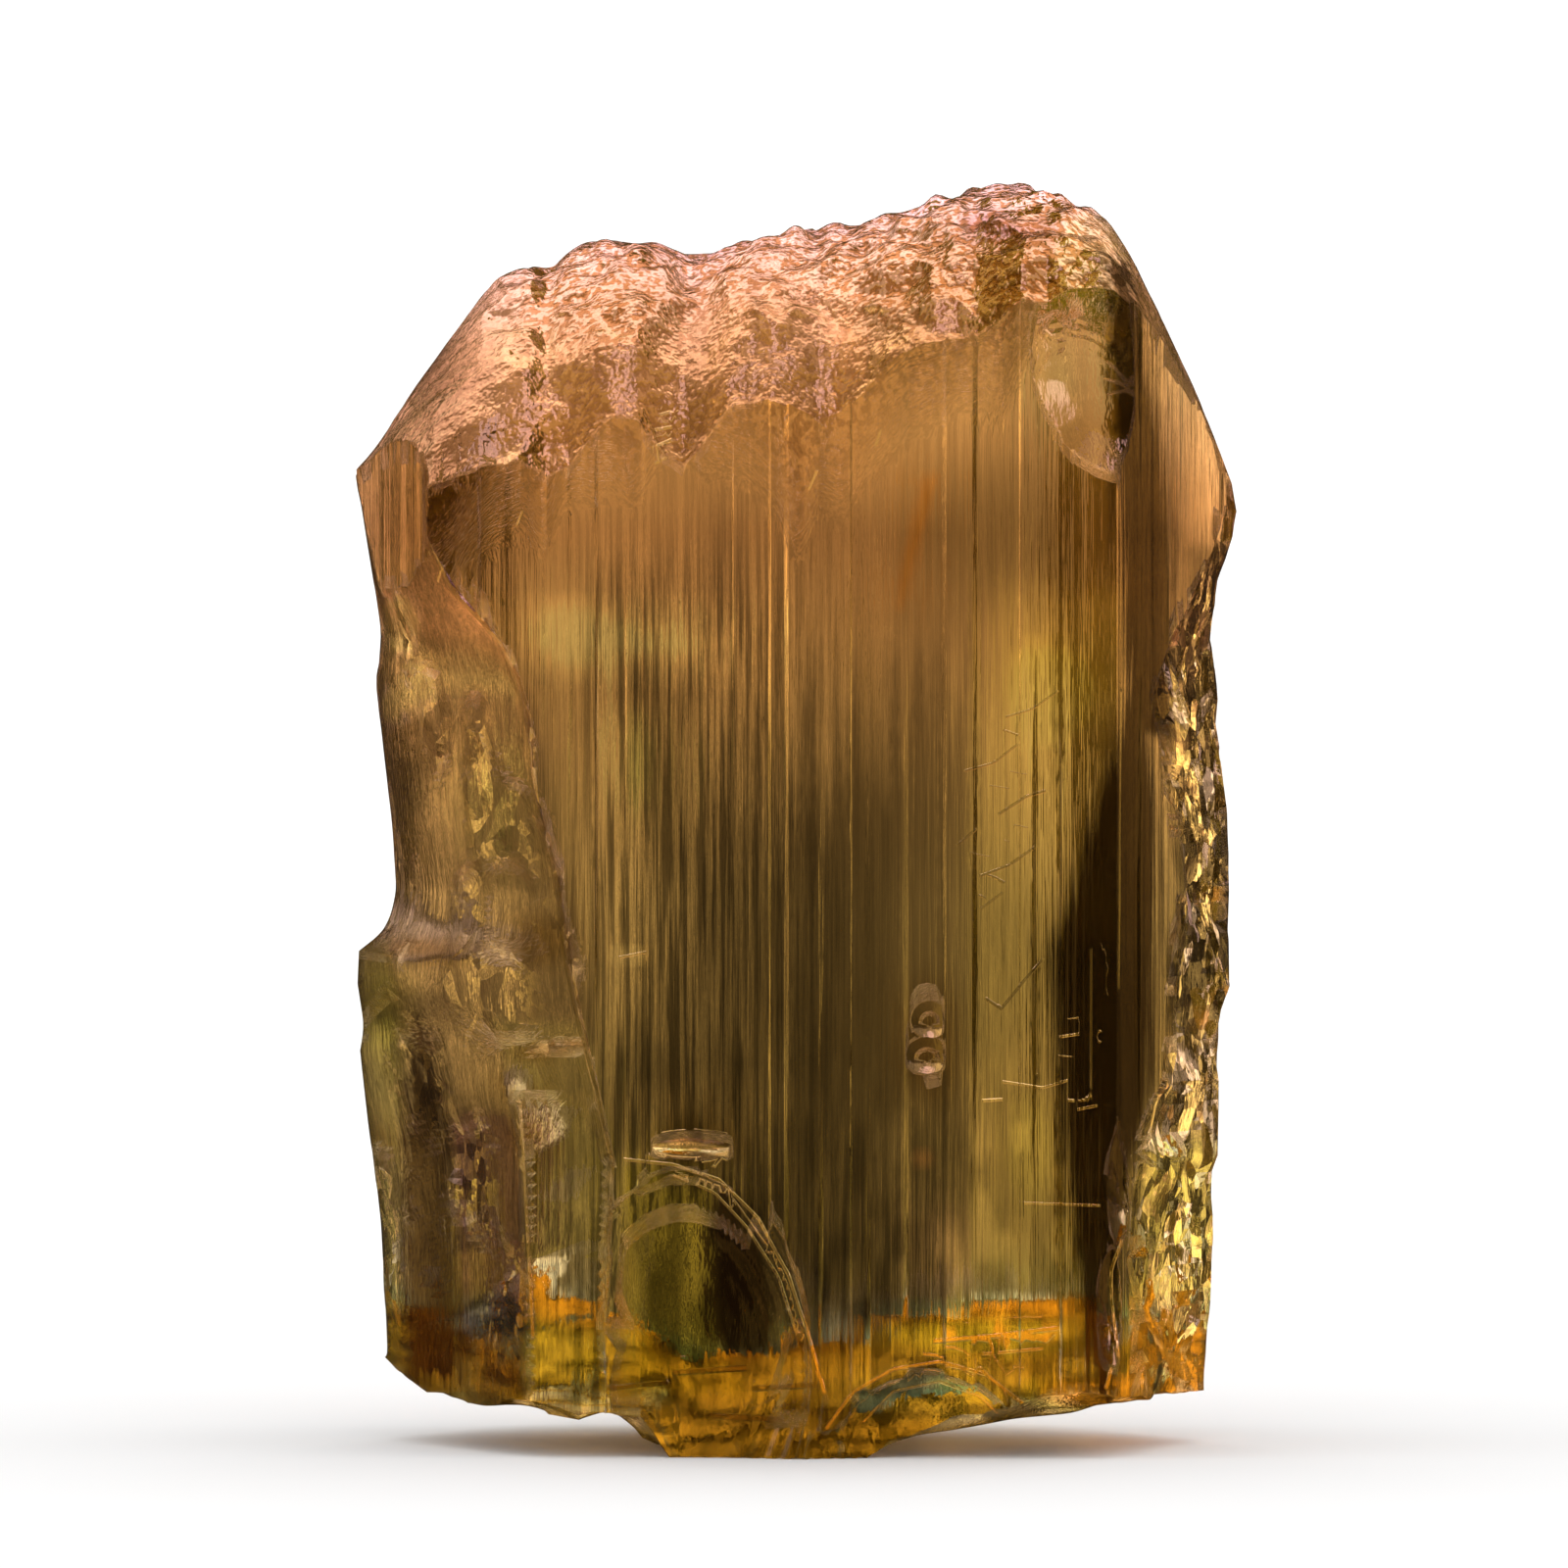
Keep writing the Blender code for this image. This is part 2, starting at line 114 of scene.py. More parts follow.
# Noises in layers: each has its pitch in millimetres, all round or along each axis, its seed and
# its strength. That of the first four is in millimetres.
HILLS = (((1.2, 1.2, 1.5), 11, 0.09), ((0.5, 0.5, 0.6), 17, 0.05))
JAGS = (((0.7, 1.6, 1.6), 19, 0.5),)
HACKLE = (((1.5, 1.5, 2.6), 31, 0.55), ((0.6, 0.6, 0.9), 37, 0.22))
DRIPS = (((0.9, 9.0, 12.0), 41, 2.6),)
RIM_WEAR = ((1.5, 47, 1.0),)
CLOUDS = (((3.6, 9.0, 7.0), 53, 0.65), ((1.5, 9.0, 4.0), 59, 0.35))
BUNDLES = (((0.75, 9.0, 7.0), 61, 0.5), ((0.4, 9.0, 3.0), 67, 0.5))
FLAKES = (((1.7, 9.0, 0.33), 83, 0.6), ((0.6, 9.0, 0.2), 89, 0.4))
LINES = (((0.32, 9.0, 9.0), 97, 1.0),)
PATCHES = (((0.8, 9.0, 1.4), 101, 1.0),)
CRUMBS = (((1.8, 1.8, 3.6), 113, 1.0),)
FRINGE = (((0.45, 9.0, 3.0), 127, 1.0),)
# The arcs of a shell-like chip: their height, their pitch as a share of the chip's half size, how
# much they waver, and the unevenness of the whole.
ARC_HEIGHT, ARC_PITCH = 0.05, 0.115
ARC_WAVER, ARC_WAVER_PITCH, ARC_SEED = 0.06, 2.0, 71
SHELL_HEIGHT, SHELL_PITCH, SHELL_SEED = 0.05, 1.3, 73
# The torn facets: how many to a millimetre along each axis, and how their edges are bent.
FACETS_PER_MM = (1.3, 1.3, 0.9)
BEND, BEND_PITCH, BEND_SEEDS = 1.6, 1.25, (103, 107, 109)

# Optics: beryl's index, and its honey-brown absorption as Blender states it, per metre.
IOR = 1.577
ABSORPTION_COLOUR = (0.80, 0.76, 0.27, 1.0)
ABSORPTION_DENSITY = 100.0
ETCH_ROUGHNESS = 0.12

# What the surface lets through in painted shade where light is lost inside, in painted glints, in
# cracks and in painted sparkles.
LOST_TINT = (0.012, 0.008, 0.005, 1)
GLINT_TINT = (1.0, 0.92, 0.75, 1)
CRACK_TINT = (0.02, 0.015, 0.01, 1)
SPARKLE_TINT = (1.0, 0.95, 0.8, 1)
# Painted shade and painted highlights of the etched flecks, on the front and at the top, where the
# highlights are pink.
FRONT_FLECK_SHADE_AND_HIGHLIGHT = ((0.52, 0.38, 0.28, 1), (1.0, 0.84, 0.70, 1))
TOP_FLECK_SHADE_AND_HIGHLIGHT = ((0.34, 0.18, 0.06, 1), (1.0, 0.94, 1.0, 1))

# Fine noises of the material: how many bumps to a millimetre along each axis.
GROOVE_GRAIN = (5.0, 5.0, 0.11)
EVEN_GRAIN = (1.5, 1.5, 0.5)
FLECK_GRAIN = (3.4, 3.4, 2.6)
# Bump heights in millimetres.
EVEN_BUMP, GROOVE_BUMP = 0.06, 0.055
ETCH_BUMP = 0.08
MARK_BUMP = 0.02
FACET_BUMP = 0.7

# Painted light and shade: how light the body is painted at each height, and across its lower part, as
# shares of the clearest.
LIGHT_UP = (
    (0.0, 0.30), (10.0, 0.32), (16.0, 0.33), (22.0, 0.40), (27.0, 0.50),
    (31.0, 0.50), (36.0, 0.50), (38.0, 0.66), (42.0, 0.85), (50.0, 0.85),
)
LIGHT_ACROSS = (
    (-18.0, 0.9), (-11.0, 1.1), (-7.2, 1.1), (-5.0, 0.75), (-2.0, 0.29), (1.0, 0.26), (3.0, 0.34),
    (6.0, 0.60), (10.0, 0.95), (18.0, 1.1),
)
ACROSS_TOP = (24.0, 33.0)  # where the second gives way to even light
# The body's hue at each height: golden at the foot, olive in the middle and pinkish above, where the pink
# is painted light from above.
HUE_UP = (
    (6.0, (1.0, 0.97, 0.85)), (22.0, (1.0, 0.93, 0.90)),
    (36.0, (1.0, 0.70, 0.72)), (43.0, (1.0, 0.80, 0.85)), (47.0, (1.0, 0.78, 1.0)),
)
# The foot's light, painted into the tint: its top edge as (x, z), half of how far it fades, and its tint.
FOOT_TOP = (
    (-18.0, 6.3), (-11.0, 6.2), (-10.4, 5.2), (-7.0, 5.2), (-5.5, 4.8), (-3.5, 4.2),
    (0.5, 4.0), (2.6, 4.4), (3.2, 5.2), (6.2, 5.7), (18.0, 5.8),
)
FOOT_FADE = 0.3
FOOT_LIGHT_TINT = (0.70, 1.1, 1.6)
FRINGE_Z = (3.6, 5.4)  # the foot's light is streaked from here up

# Soft patches of painted light and painted shade within the body: (x, z) of the middle, half
# width and height, and what the tint is multiplied by there.
LIGHT_AND_SHADE_PATCHES = (
    # The head
    # Painted shade: the dark purple spot; painted highlight: the white rim beside it.
    (8.5, 48.0, 2.4, 1.0, (0.35, 0.25, 0.45)),  # the dark purple spot at the top
    (11.6, 46.8, 1.6, 2.2, (2.0, 2.8, 3.6)),  # the white rim beside it
    (10.3, 42.0, 1.6, 2.6, (0.8, 1.1, 1.2)),
    (14.5, 39.5, 1.7, 6.0, (0.18, 0.18, 0.20)),
    (16.0, 43.0, 2.4, 5.0, (0.70, 0.85, 1.1)),
    (-13.8, 42.8, 1.8, 2.2, (0.55, 0.50, 0.50)),
    (-14.6, 38.5, 2.6, 4.6, (0.40, 0.35, 0.38)),
    # The upper body
    (7.5, 36.5, 4.5, 3.5, (0.62, 0.66, 0.60)),
    # Painted light: the golden window under the left rim.
    (-8.0, 32.2, 2.6, 1.5, (2.6, 2.8, 2.6)),  # the golden window under the left rim
    (-5.8, 31.9, 3.0, 0.7, (2.0, 2.0, 1.8)),
    (-6.2, 27.4, 0.5, 2.2, (1.6, 2.2, 1.6)),
    (10.2, 30.2, 1.6, 1.8, (2.0, 2.2, 1.2)),
    (9.2, 26.0, 1.8, 4.0, (1.5, 1.5, 1.5)),
    # The lower body
    (-6.6, 19.7, 0.7, 0.14, (5.0, 4.5, 4.0)),
    # Painted shade over the two dimples, and darker around the golden flake.
    (5.2, 15.9, 1.3, 2.8, (0.55, 0.42, 0.25)),  # the two dimples
    (-4.1, 12.2, 2.2, 1.0, (0.60, 0.45, 0.20)),  # around the golden flake
    (9.2, 12.0, 2.6, 5.0, (1.3, 1.2, 1.25)),
    (9.2, 12.0, 0.9, 2.2, (1.8, 2.0, 1.4)),
    (4.9, 11.8, 0.5, 0.3, (4.0, 2.4, 2.0)),
    (6.0, 7.8, 1.6, 2.0, (1.8, 1.6, 2.0)),
    # The left break
    # Painted light: three soft golden spots.
    (-15.7, 32.6, 0.7, 1.0, (5.0, 6.0, 9.0)),  # three soft golden spots
    (-15.0, 30.0, 0.7, 0.8, (5.0, 6.0, 7.0)),
    (-16.0, 29.3, 0.5, 0.6, (6.0, 8.0, 20.0)),
    (-15.3, 25.9, 1.0, 1.9, (0.30, 0.30, 0.30)),
    (-11.6, 25.2, 2.0, 3.0, (0.60, 0.70, 0.55)),
    (-9.9, 20.2, 1.4, 1.1, (0.50, 0.40, 0.22)),
    (-15.0, 19.8, 2.6, 0.7, (0.45, 0.30, 0.12)),  # small level steps
    (-10.2, 15.8, 1.4, 0.5, (0.60, 0.40, 0.16)),
    (-10.4, 12.7, 1.2, 1.2, (0.60, 0.40, 0.16)),
    (-16.2, 17.2, 1.5, 2.6, (0.8, 1.0, 0.4)),
    (-13.9, 2.9, 0.5, 0.4, (9.0, 8.0, 6.0)),
    # The foot
    (2.0, 5.0, 7.0, 0.35, (1.6, 1.8, 1.4)),
    (7.5, 4.8, 3.4, 0.7, (1.5, 2.2, 1.8)),
    (7.0, 4.6, 5.0, 0.7, (0.85, 1.0, 1.2)),
    (-9.0, 4.2, 3.4, 1.8, (0.55, 0.85, 1.2)),
    (5.4, 2.6, 3.6, 1.0, (1.4, 2.0, 4.0)),
    (11.2, 2.6, 1.8, 0.8, (5.0, 7.0, 12.0)),
)
PATCH_EDGE = (1.4, 0.2)  # where a patch begins and is full, in its own half sizes

# Bands of painted light and painted shade, and the rusty stain, between a left and a right edge,
# each as (height, x) points, with what the tint is multiplied by there and how softly they end.
LIGHT_SHADE_AND_STAIN_BANDS = (
    # Painted light: the bright band right of the middle
    (((4.0, 5.5), (12.0, 7.2), (20.0, 6.8), (30.0, 7.2), (34.0, 8.0)),
     ((4.0, 11.6), (12.5, 10.6), (21.4, 9.8), (26.9, 11.6), (34.0, 13.0)),
     (1.5, 1.6, 1.3), 0.9),
    # Painted light on the striated ledge under the left rim
    (((1.5, -10.5), (10.0, -10.6), (14.0, -10.9), (17.0, -11.8)),
     ((1.5, -7.2), (11.6, -7.0), (17.0, -8.3)),
     (1.7, 2.0, 1.5), 0.3),
    # The green edge at the far left
    (((1.5, -17.0), (20.0, -18.0)),
     ((1.5, -15.7), (14.5, -15.6), (20.0, -16.2)),
     (1.1, 1.4, 0.8), 0.3),
    # Inside the lower chip
    (((2.4, -6.8), (11.4, -6.8)),
     ((2.4, -2.0), (7.0, -3.0), (10.6, -3.2), (11.4, -4.4)),
     (0.85, 0.92, 0.35), 0.3),
    # Painted light at the foot of the right break, and painted shade on its upper part
    (((-1.0, 13.0), (8.0, 13.3), (12.0, 13.8)),
     ((-1.0, 18.6), (12.0, 18.6)),
     (1.7, 2.1, 1.0), 0.6),
    (((17.0, 14.4), (24.0, 14.8), (36.0, 15.0)),
     ((17.0, 18.6), (36.0, 18.6)),
     (0.11, 0.11, 0.10), 0.8),
    # Painted shade over the whole left break
    (((1.0, -18.4), (30.0, -18.4)),
     ((1.0, -7.0), (12.0, -7.0), (16.0, -7.6), (22.0, -8.9), (28.0, -9.8), (30.0, -10.4)),
     (0.5, 0.47, 0.55), 0.4),
    # Painted light: the bright block at the foot's right end
    (((-1.0, 12.9), (6.5, 13.1)),
     ((-1.0, 18.6), (6.5, 18.6)),
     (3.0, 3.4, 1.6), 0.5),
    # The rusty stain
    (((33.4, 3.9), (35.5, 4.2), (38.4, 5.0)),
     ((33.4, 4.2), (35.5, 4.8), (38.4, 5.5)),
     (1.3, 0.85, 0.3), 0.25),
    # Painted shade in the dusky zone beside the ledge, and a painted pinkish reflection along it
    (((2.6, -12.4), (8.0, -12.4), (13.5, -13.3)),
     ((2.6, -10.7), (6.0, -10.5), (10.5, -10.5), (13.0, -11.0), (14.5, -12.2)),
     (0.36, 0.26, 0.5), 0.3),
    (((3.6, -13.2), (8.0, -13.5), (13.0, -13.8)),
     ((3.6, -12.4), (8.0, -12.5), (13.0, -13.2)),
     (0.42, 0.28, 0.7), 0.3),
)
# Painted shade where the light is lost inside, as bands of the same kind: hardly any comes through.
SHADES = (
    # The dark zone at the right
    (((2.0, 11.8), (4.0, 11.2), (8.0, 10.8), (12.5, 10.4), (16.4, 10.0), (20.0, 9.9),
      (22.0, 10.7), (24.2, 11.3), (26.9, 12.1), (30.0, 12.8), (32.4, 13.2)),
     ((2.0, 12.4), (6.0, 12.6), (10.5, 13.0), (14.5, 14.0), (22.3, 14.4), (26.0, 14.2),
      (30.0, 13.8), (32.4, 13.6))),
    # The dark edge above it, up to the head
    (((28.0, 13.0), (38.0, 12.4), (47.0, 12.0)),
     ((28.0, 15.0), (34.0, 15.0), (40.0, 14.4), (47.0, 13.2))),
    # The dark zone at the left
    (((2.6, -15.4), (6.0, -15.6), (10.0, -15.7), (14.5, -15.4), (17.2, -15.1)),
     ((2.6, -13.1), (8.0, -13.5), (13.5, -13.8), (17.2, -14.6))),
    # Inside the lower chip
    (((4.0, -2.9), (7.0, -3.2), (10.8, -3.4)),
     ((4.0, -0.6), (7.0, -1.0), (10.8, -2.6))),
)
BAND_REACH = 1.5  # how far from its edge a band's depth is kept

# Cracks, chip rims and glints on the front as strokes: how light (over 0), as a painted highlight,
# or dark (under 0) each one is, half its width, and its (x, z) points.
MARKS = (
    # The lower chip's arcs
    (0.5, 0.06, ((-6.7, 11.7), (-4.8, 11.5), (-3.0, 10.9), (-1.5, 9.4), (-0.3, 7.2), (0.4, 5.1),
                 (1.1, 2.6))),
    (0.4, 0.05, ((-4.8, 11.1), (-3.2, 10.4), (-1.9, 9.0), (-0.7, 7.1), (0.0, 4.9))),
    # Cracks beside and across the dark zone at the right
    (0.9, 0.06, ((7.3, 14.0), (8.9, 14.1), (10.8, 14.0))),
    (0.5, 0.05, ((7.7, 14.8), (9.6, 14.5), (10.6, 14.8))),
    (-0.7, 0.05, ((7.4, 18.0), (8.0, 17.6), (8.9, 18.7), (9.6, 19.5))),
    (-0.5, 0.04, ((6.6, 26.9), (7.7, 27.2), (8.6, 27.9))),
    (-0.6, 0.05, ((7.9, 25.2), (9.0, 25.9), (9.7, 26.1))),
    (-0.4, 0.04, ((6.3, 24.0), (7.0, 24.6))),
    (-0.6, 0.05, ((7.2, 22.8), (8.3, 23.2), (9.3, 23.9))),
    (-0.5, 0.04, ((8.2, 29.0), (9.2, 29.3), (10.2, 30.0))),
    (-0.4, 0.04, ((7.2, 21.5), (8.0, 22.1))),
    (1.0, 0.05, ((10.3, 16.5), (11.6, 16.7))),
    (1.0, 0.05, ((10.2, 13.5), (11.7, 13.8))),
    (0.6, 0.05, ((8.9, 10.0), (11.8, 9.9))),
    # The golden flake
    (1.0, 0.19, ((-5.6, 12.1), (-4.2, 12.2), (-2.7, 12.0))),
    # Glints at the foot's top edge
    (0.5, 0.08, ((5.4, 4.6), (7.7, 4.8), (10.2, 5.1))),
    (0.35, 0.05, ((7.3, 4.1), (9.6, 4.3))),
    # The right break's bright edge, and thin lines in the dark zone
    (0.9, 0.06, ((13.9, 13.4), (13.2, 12.5), (13.1, 11.1), (13.2, 10.0), (13.2, 9.0), (13.6, 8.1))),
    (0.9, 0.06, ((12.7, 8.5), (12.3, 7.4), (12.3, 6.3), (12.5, 4.9), (12.6, 4.0))),
    (0.9, 0.06, ((12.3, 3.5), (12.1, 2.8))),
    (0.4, 0.04, ((12.7, 30.0), (12.6, 18.4))),
    (0.3, 0.04, ((11.5, 19.9), (11.5, 14.5))),
    # The left break and beside its rim
    (0.5, 0.05, ((-14.9, 21.3), (-14.7, 18.4), (-14.2, 14.8))),
    (0.5, 0.14, ((-12.2, 11.6), (-10.8, 11.5))),
    (0.6, 0.06, ((-11.3, 16.0), (-10.8, 14.1), (-10.6, 10.6), (-10.4, 6.7), (-10.3, 4.7))),
    (0.5, 0.05, ((-6.9, 19.6), (-5.9, 19.8))),
    # The striped glints under the head, and single ones beside them
    (1.0, 0.06, ((-5.2, 41.4), (-4.5, 41.6))),
    (1.0, 0.06, ((-5.3, 40.8), (-4.6, 41.0))),
    (1.0, 0.06, ((-5.5, 40.2), (-4.9, 40.3))),
    (1.0, 0.07, ((-5.6, 39.5), (-4.9, 39.8))),
    (1.0, 0.06, ((-5.5, 38.9), (-5.1, 39.1))),
    (0.9, 0.05, ((-10.9, 36.5), (-10.7, 37.0))),
    (0.9, 0.05, ((-14.0, 34.3), (-13.8, 34.9))),
    (0.9, 0.05, ((-14.2, 33.2), (-14.0, 33.6))),
    (0.8, 0.05, ((0.5, 37.9), (0.8, 38.6))),
    (0.7, 0.05, ((3.1, 39.6), (3.3, 40.2))),
    # The foot's arcs and dark streaks
    (0.3, 0.06, ((1.2, 1.2), (2.2, 2.6), (3.8, 3.5), (5.6, 3.8), (7.4, 3.3), (8.8, 2.2))),
    (0.25, 0.04, ((2.6, 1.4), (3.8, 2.6), (5.6, 3.0), (7.2, 2.4), (8.2, 1.4))),
    (-0.7, 0.10, ((-4.8, 3.3), (-2.0, 3.5))),
    (-0.7, 0.10, ((-1.7, 2.7), (1.0, 2.9))),
    (-0.7, 0.10, ((-7.4, 2.7), (-5.0, 2.9))),
    (-0.6, 0.10, ((-3.6, 1.6), (-0.5, 1.5))),
    (-1.0, 0.24, ((8.8, 1.8), (10.4, 1.7))),
)
# The ladder of small cracks in the left dark zone, lit by painted highlights: its top, bottom and
# pitch, then how light a rung is, half its width, its ends' x and how far it falls to the right.
LADDER = (14.8, 7.6, 0.62)
RUNG_LIGHT, RUNG_HALF_WIDTH, RUNG_ENDS, RUNG_FALL = 0.4, 0.05, (-12.1, -11.2), 0.1
MARK_REACH = 0.9  # how far from its line a stroke's distance is kept
MARK_FADE = 0.1  # how far past its end a stroke fades
FAR_ACROSS, FAR_PAST = 18.0, 1.0  # beyond every stroke, in half widths and in millimetres

# The studio's floor, in metres, and its tints: as it is, through the crystal pinkish as painted
# light, and mirrored in it nearly black as painted shade.
FLOOR_RADIUS, FLOOR_POINTS = 0.13, 96
FLOOR_DROP = 0.00003
FLOOR_TINT = (0.9, 0.9, 0.9, 1)
FLOOR_TINT_THROUGH = (0.85, 0.55, 0.55, 1)
FLOOR_TINT_MIRRORED = (0.01, 0.01, 0.01, 1)
# The floor's glow near the crystal for rays through it: where it starts to fall, and where it ends.
GLOW_RADII = (0.065, 0.095)
GLOW_POWER = 3.0
GLOW_COLOUR = (0.85, 0.62, 1.0, 1)

# The pale surround, and the room that rays through the crystal see: its least light, what is
# added towards the front and the back, and what is added above, each from and to a part of the way.
SURROUND_COLOUR, SURROUND_POWER = (1, 1, 1, 1), 1.2
ROOM_POWER = 0.30
ROOM_LENGTHWISE = (0.3, 0.95, 0.0, 0.70)
ROOM_ABOVE = (0.15, 0.8, 0.0, 2.4)
ROOM_WARMTH = (0.1, 0.6)
ROOM_COLOURS = ((1.0, 0.64, 0.45, 1), (1.0, 0.52, 0.46, 1))
# Bright windows of the room: the way to each, half its width in degrees, and its power.
WINDOWS = (
    ((0.656, 0.755, -0.05), 9.0, 4.0),
    ((-0.656, 0.755, 0.10), 9.0, 5.0),
    ((0.15, 0.35, 0.92), 12.0, 6.0),
    ((0.0, -0.53, 0.85), 27.0, 7.0),
)
# The same for what the crystal's surface mirrors, and the near darkness between them.
MIRRORED = (
    ((0.0, -0.45, 0.89), 14.0, 7.5),
    ((0.95, -0.30, 0.30), 10.0, 8.0),
    ((-0.95, -0.30, 0.30), 10.0, 1.5),
)
MIRRORED_POWER = 0.02
WINDOW_EDGE = 0.02

CAMERA_DISTANCE = 0.60
CAMERA_ELEVATION = math.radians(1.2)
SENSOR_WIDTH = 36.0
CLIP_START = 0.01
BOUNCES = 16


def pixel_place(px, py):
    """(x, z) in millimetres of a photograph's pixel on the plane through the crystal's middle."""
    return (px - ORIGIN_PIXEL[0]) * MM_PER_PIXEL, (ORIGIN_PIXEL[1] - py) * MM_PER_PIXEL


# Patterns over arrays of points


def smooth_step(low, high, value):
    """0 at low, 1 at high, and a smooth change between them."""
    share = np.clip((value - low) / (high - low), 0.0, 1.0)
    return share * share * (3 - 2 * share)


def along(line, value):
    """Reads a line of (place, height) points at each value."""
    return np.interp(value, *np.array(line).T)


def scrambled(cells, seed):
    """A number from 0 to 1 for each integer cell, the same one each run."""
    mixed = np.full(cells.shape[:-1], seed * 2654435761 % 2**32, np.uint64)
    for axis, factor in enumerate((73856093, 19349663, 83492791)):
        mixed ^= (cells[..., axis].astype(np.int64) * factor).astype(np.uint64)
        mixed = (mixed ^ (mixed >> np.uint64(15))) * np.uint64(2246822519) % np.uint64(2**32)
    mixed ^= mixed >> np.uint64(13)
    return (mixed % np.uint64(65536)).astype(float) / 65536


def soft_noise(points, seed, sharp=False):
    """Noise from 0 to 1, with one random value at each whole-numbered corner."""
    low = np.floor(points)
    share = points - low
    if not sharp:
        share = share * share * (3 - 2 * share)
    total = np.zeros(len(points))
    for corner in np.ndindex(2, 2, 2):
        weight = np.prod(np.where(corner, share, 1 - share), axis=1)
        total += weight * scrambled(low + corner, seed)
    return total


def layered(places, layers, sharp=False):
    """The sum of a noise's layers, about 0."""
    total = np.zeros(len(places))
    for pitch, seed, strength in layers:
        total += strength * (soft_noise(places / np.array(pitch), seed, sharp) - 0.5)
    return total


# Patterns over the front


def band_depth(left_edge, right_edge, x, z):
    """How far inside a band between its two edges each place is, and under 0 outside it."""
    bottom = max(left_edge[0][0], right_edge[0][0])
    top = min(left_edge[-1][0], right_edge[-1][0])
    depth = np.minimum(x - along(left_edge, z), along(right_edge, z) - x)
    depth = np.minimum(depth, np.minimum(z - bottom, top - z))
    return np.clip(depth, -BAND_REACH, BAND_REACH)


def chip_reach(chip, x, z):
    """0 at a chip's middle and 1 at its rim."""
    (middle_x, middle_z), (half_width, half_height) = chip
    return np.hypot((x - middle_x) / half_width, (z - middle_z) / half_height)


def tinted(tint, share, colour):
    """The tint multiplied by a colour, as far as the share says."""
    return tint * (1 + share[:, None] * (np.array(colour) - 1))


def body_tint_and_painted_light(x, z, cloud, lines, foot):
    """The body's smooth colour with its painted light and shade, at each place seen from the front."""
    light = along(LIGHT_UP, z + 8.0 * cloud)
    across = along(LIGHT_ACROSS, x + 3.0 * cloud)
    light = light * np.maximum(across, smooth_step(*ACROSS_TOP, z + 4.0 * cloud + 12.0 * lines))
    heights = [height for height, _ in HUE_UP]
    hues = np.array([hue for _, hue in HUE_UP])
    tint = np.stack([np.interp(z, heights, channel) for channel in hues.T], axis=1)
    tint = tinted(tint * light[:, None], foot, FOOT_LIGHT_TINT)
    for left, right, colour, soft in LIGHT_SHADE_AND_STAIN_BANDS:
        tint = tinted(tint, smooth_step(-soft, soft, band_depth(left, right, x, z)), colour)
    for middle_x, middle_z, half_width, half_height, colour in LIGHT_AND_SHADE_PATCHES:
        away = chip_reach(((middle_x, middle_z), (half_width, half_height)), x, z)
        tint = tinted(tint, smooth_step(*PATCH_EDGE, away + cloud), colour)
    return np.clip(tint, 0.0, 1.0)


def all_strokes():
    """The marks, with the ladder's rungs."""
    top, bottom, pitch = LADDER
    left, right = RUNG_ENDS
    strokes = list(MARKS)
    for number in range(int((top - bottom) / pitch)):
        z = top - number * pitch
        strokes.append((RUNG_LIGHT, RUNG_HALF_WIDTH, ((left, z), (right, z - RUNG_FALL))))
    return strokes


def stroke_distances(x, z):
    """For each place: its distance across the nearest stroke in half widths, with a side, how far
    it is past the stroke's end in millimetres, and how light the stroke is."""
    nearest = np.full(len(x), MARK_REACH)
    side = np.full(len(x), FAR_ACROSS)
    past = np.full(len(x), FAR_PAST)
    shine = np.zeros(len(x))
    for light, half_width, points in all_strokes():
        for (x0, z0), (x1, z1) in zip(points, points[1:]):
            length = math.hypot(x1 - x0, z1 - z0)
            ux, uz = (x1 - x0) / length, (z1 - z0) / length
            lengthwise = (x - x0) * ux + (z - z0) * uz
            across = (x - x0) * uz - (z - z0) * ux
            beyond = np.maximum(-lengthwise, lengthwise - length)
            distance = np.hypot(across, np.maximum(beyond, 0.0))
            closer = distance < nearest
            nearest[closer] = distance[closer]
            side[closer] = across[closer] / half_width
            past[closer] = np.maximum(beyond, distance - MARK_REACH + MARK_FADE)[closer]
            shine[closer] = light
    return side, past, shine


# The kinds of surface and the fine mesh


def face_planes():
    """Outward normal and a point for each of the six prism faces."""
    planes = []
    for i, start in enumerate(CORNERS):
        side = np.array(CORNERS[(i + 1) % len(CORNERS)]) - np.array(start)
        normal = np.array((side[1], -side[0])) / np.linalg.norm(side)
        planes.append((normal, np.array(start)))
    return planes


PLANES = face_planes()
GROWN, ETCHED, FOOT, BROKEN = range(4)


def kind_of(centre, normal):
    """Which kind of surface a face of the CAD mesh belongs to, by its place and direction."""
    x, y, z = centre
    for plane_normal, point in PLANES:
        depth = plane_normal @ (point - (x, y))
        facing = plane_normal @ (normal[0], normal[1])
        upright = abs(normal[2]) < UPRIGHT
        if depth < STEP_DEPTH and facing > LEAST_FACING and (facing > SQUARE_FACING or upright):
            return GROWN
    (ledge_left, ledge_right), ledge_top, ledge_depth = LEDGE
    on_ledge = ledge_left < x < ledge_right and z < ledge_top and y < FRONT_Y + ledge_depth
    if on_ledge and -normal[1] > LEDGE_FACING:
        return GROWN
    if z > HEAD_LOWEST and normal[2] > HEAD_SLOPE:
        return ETCHED
    if z < FOOT_HIGHEST and -normal[2] > FOOT_SLOPE:
        return FOOT
    return BROKEN


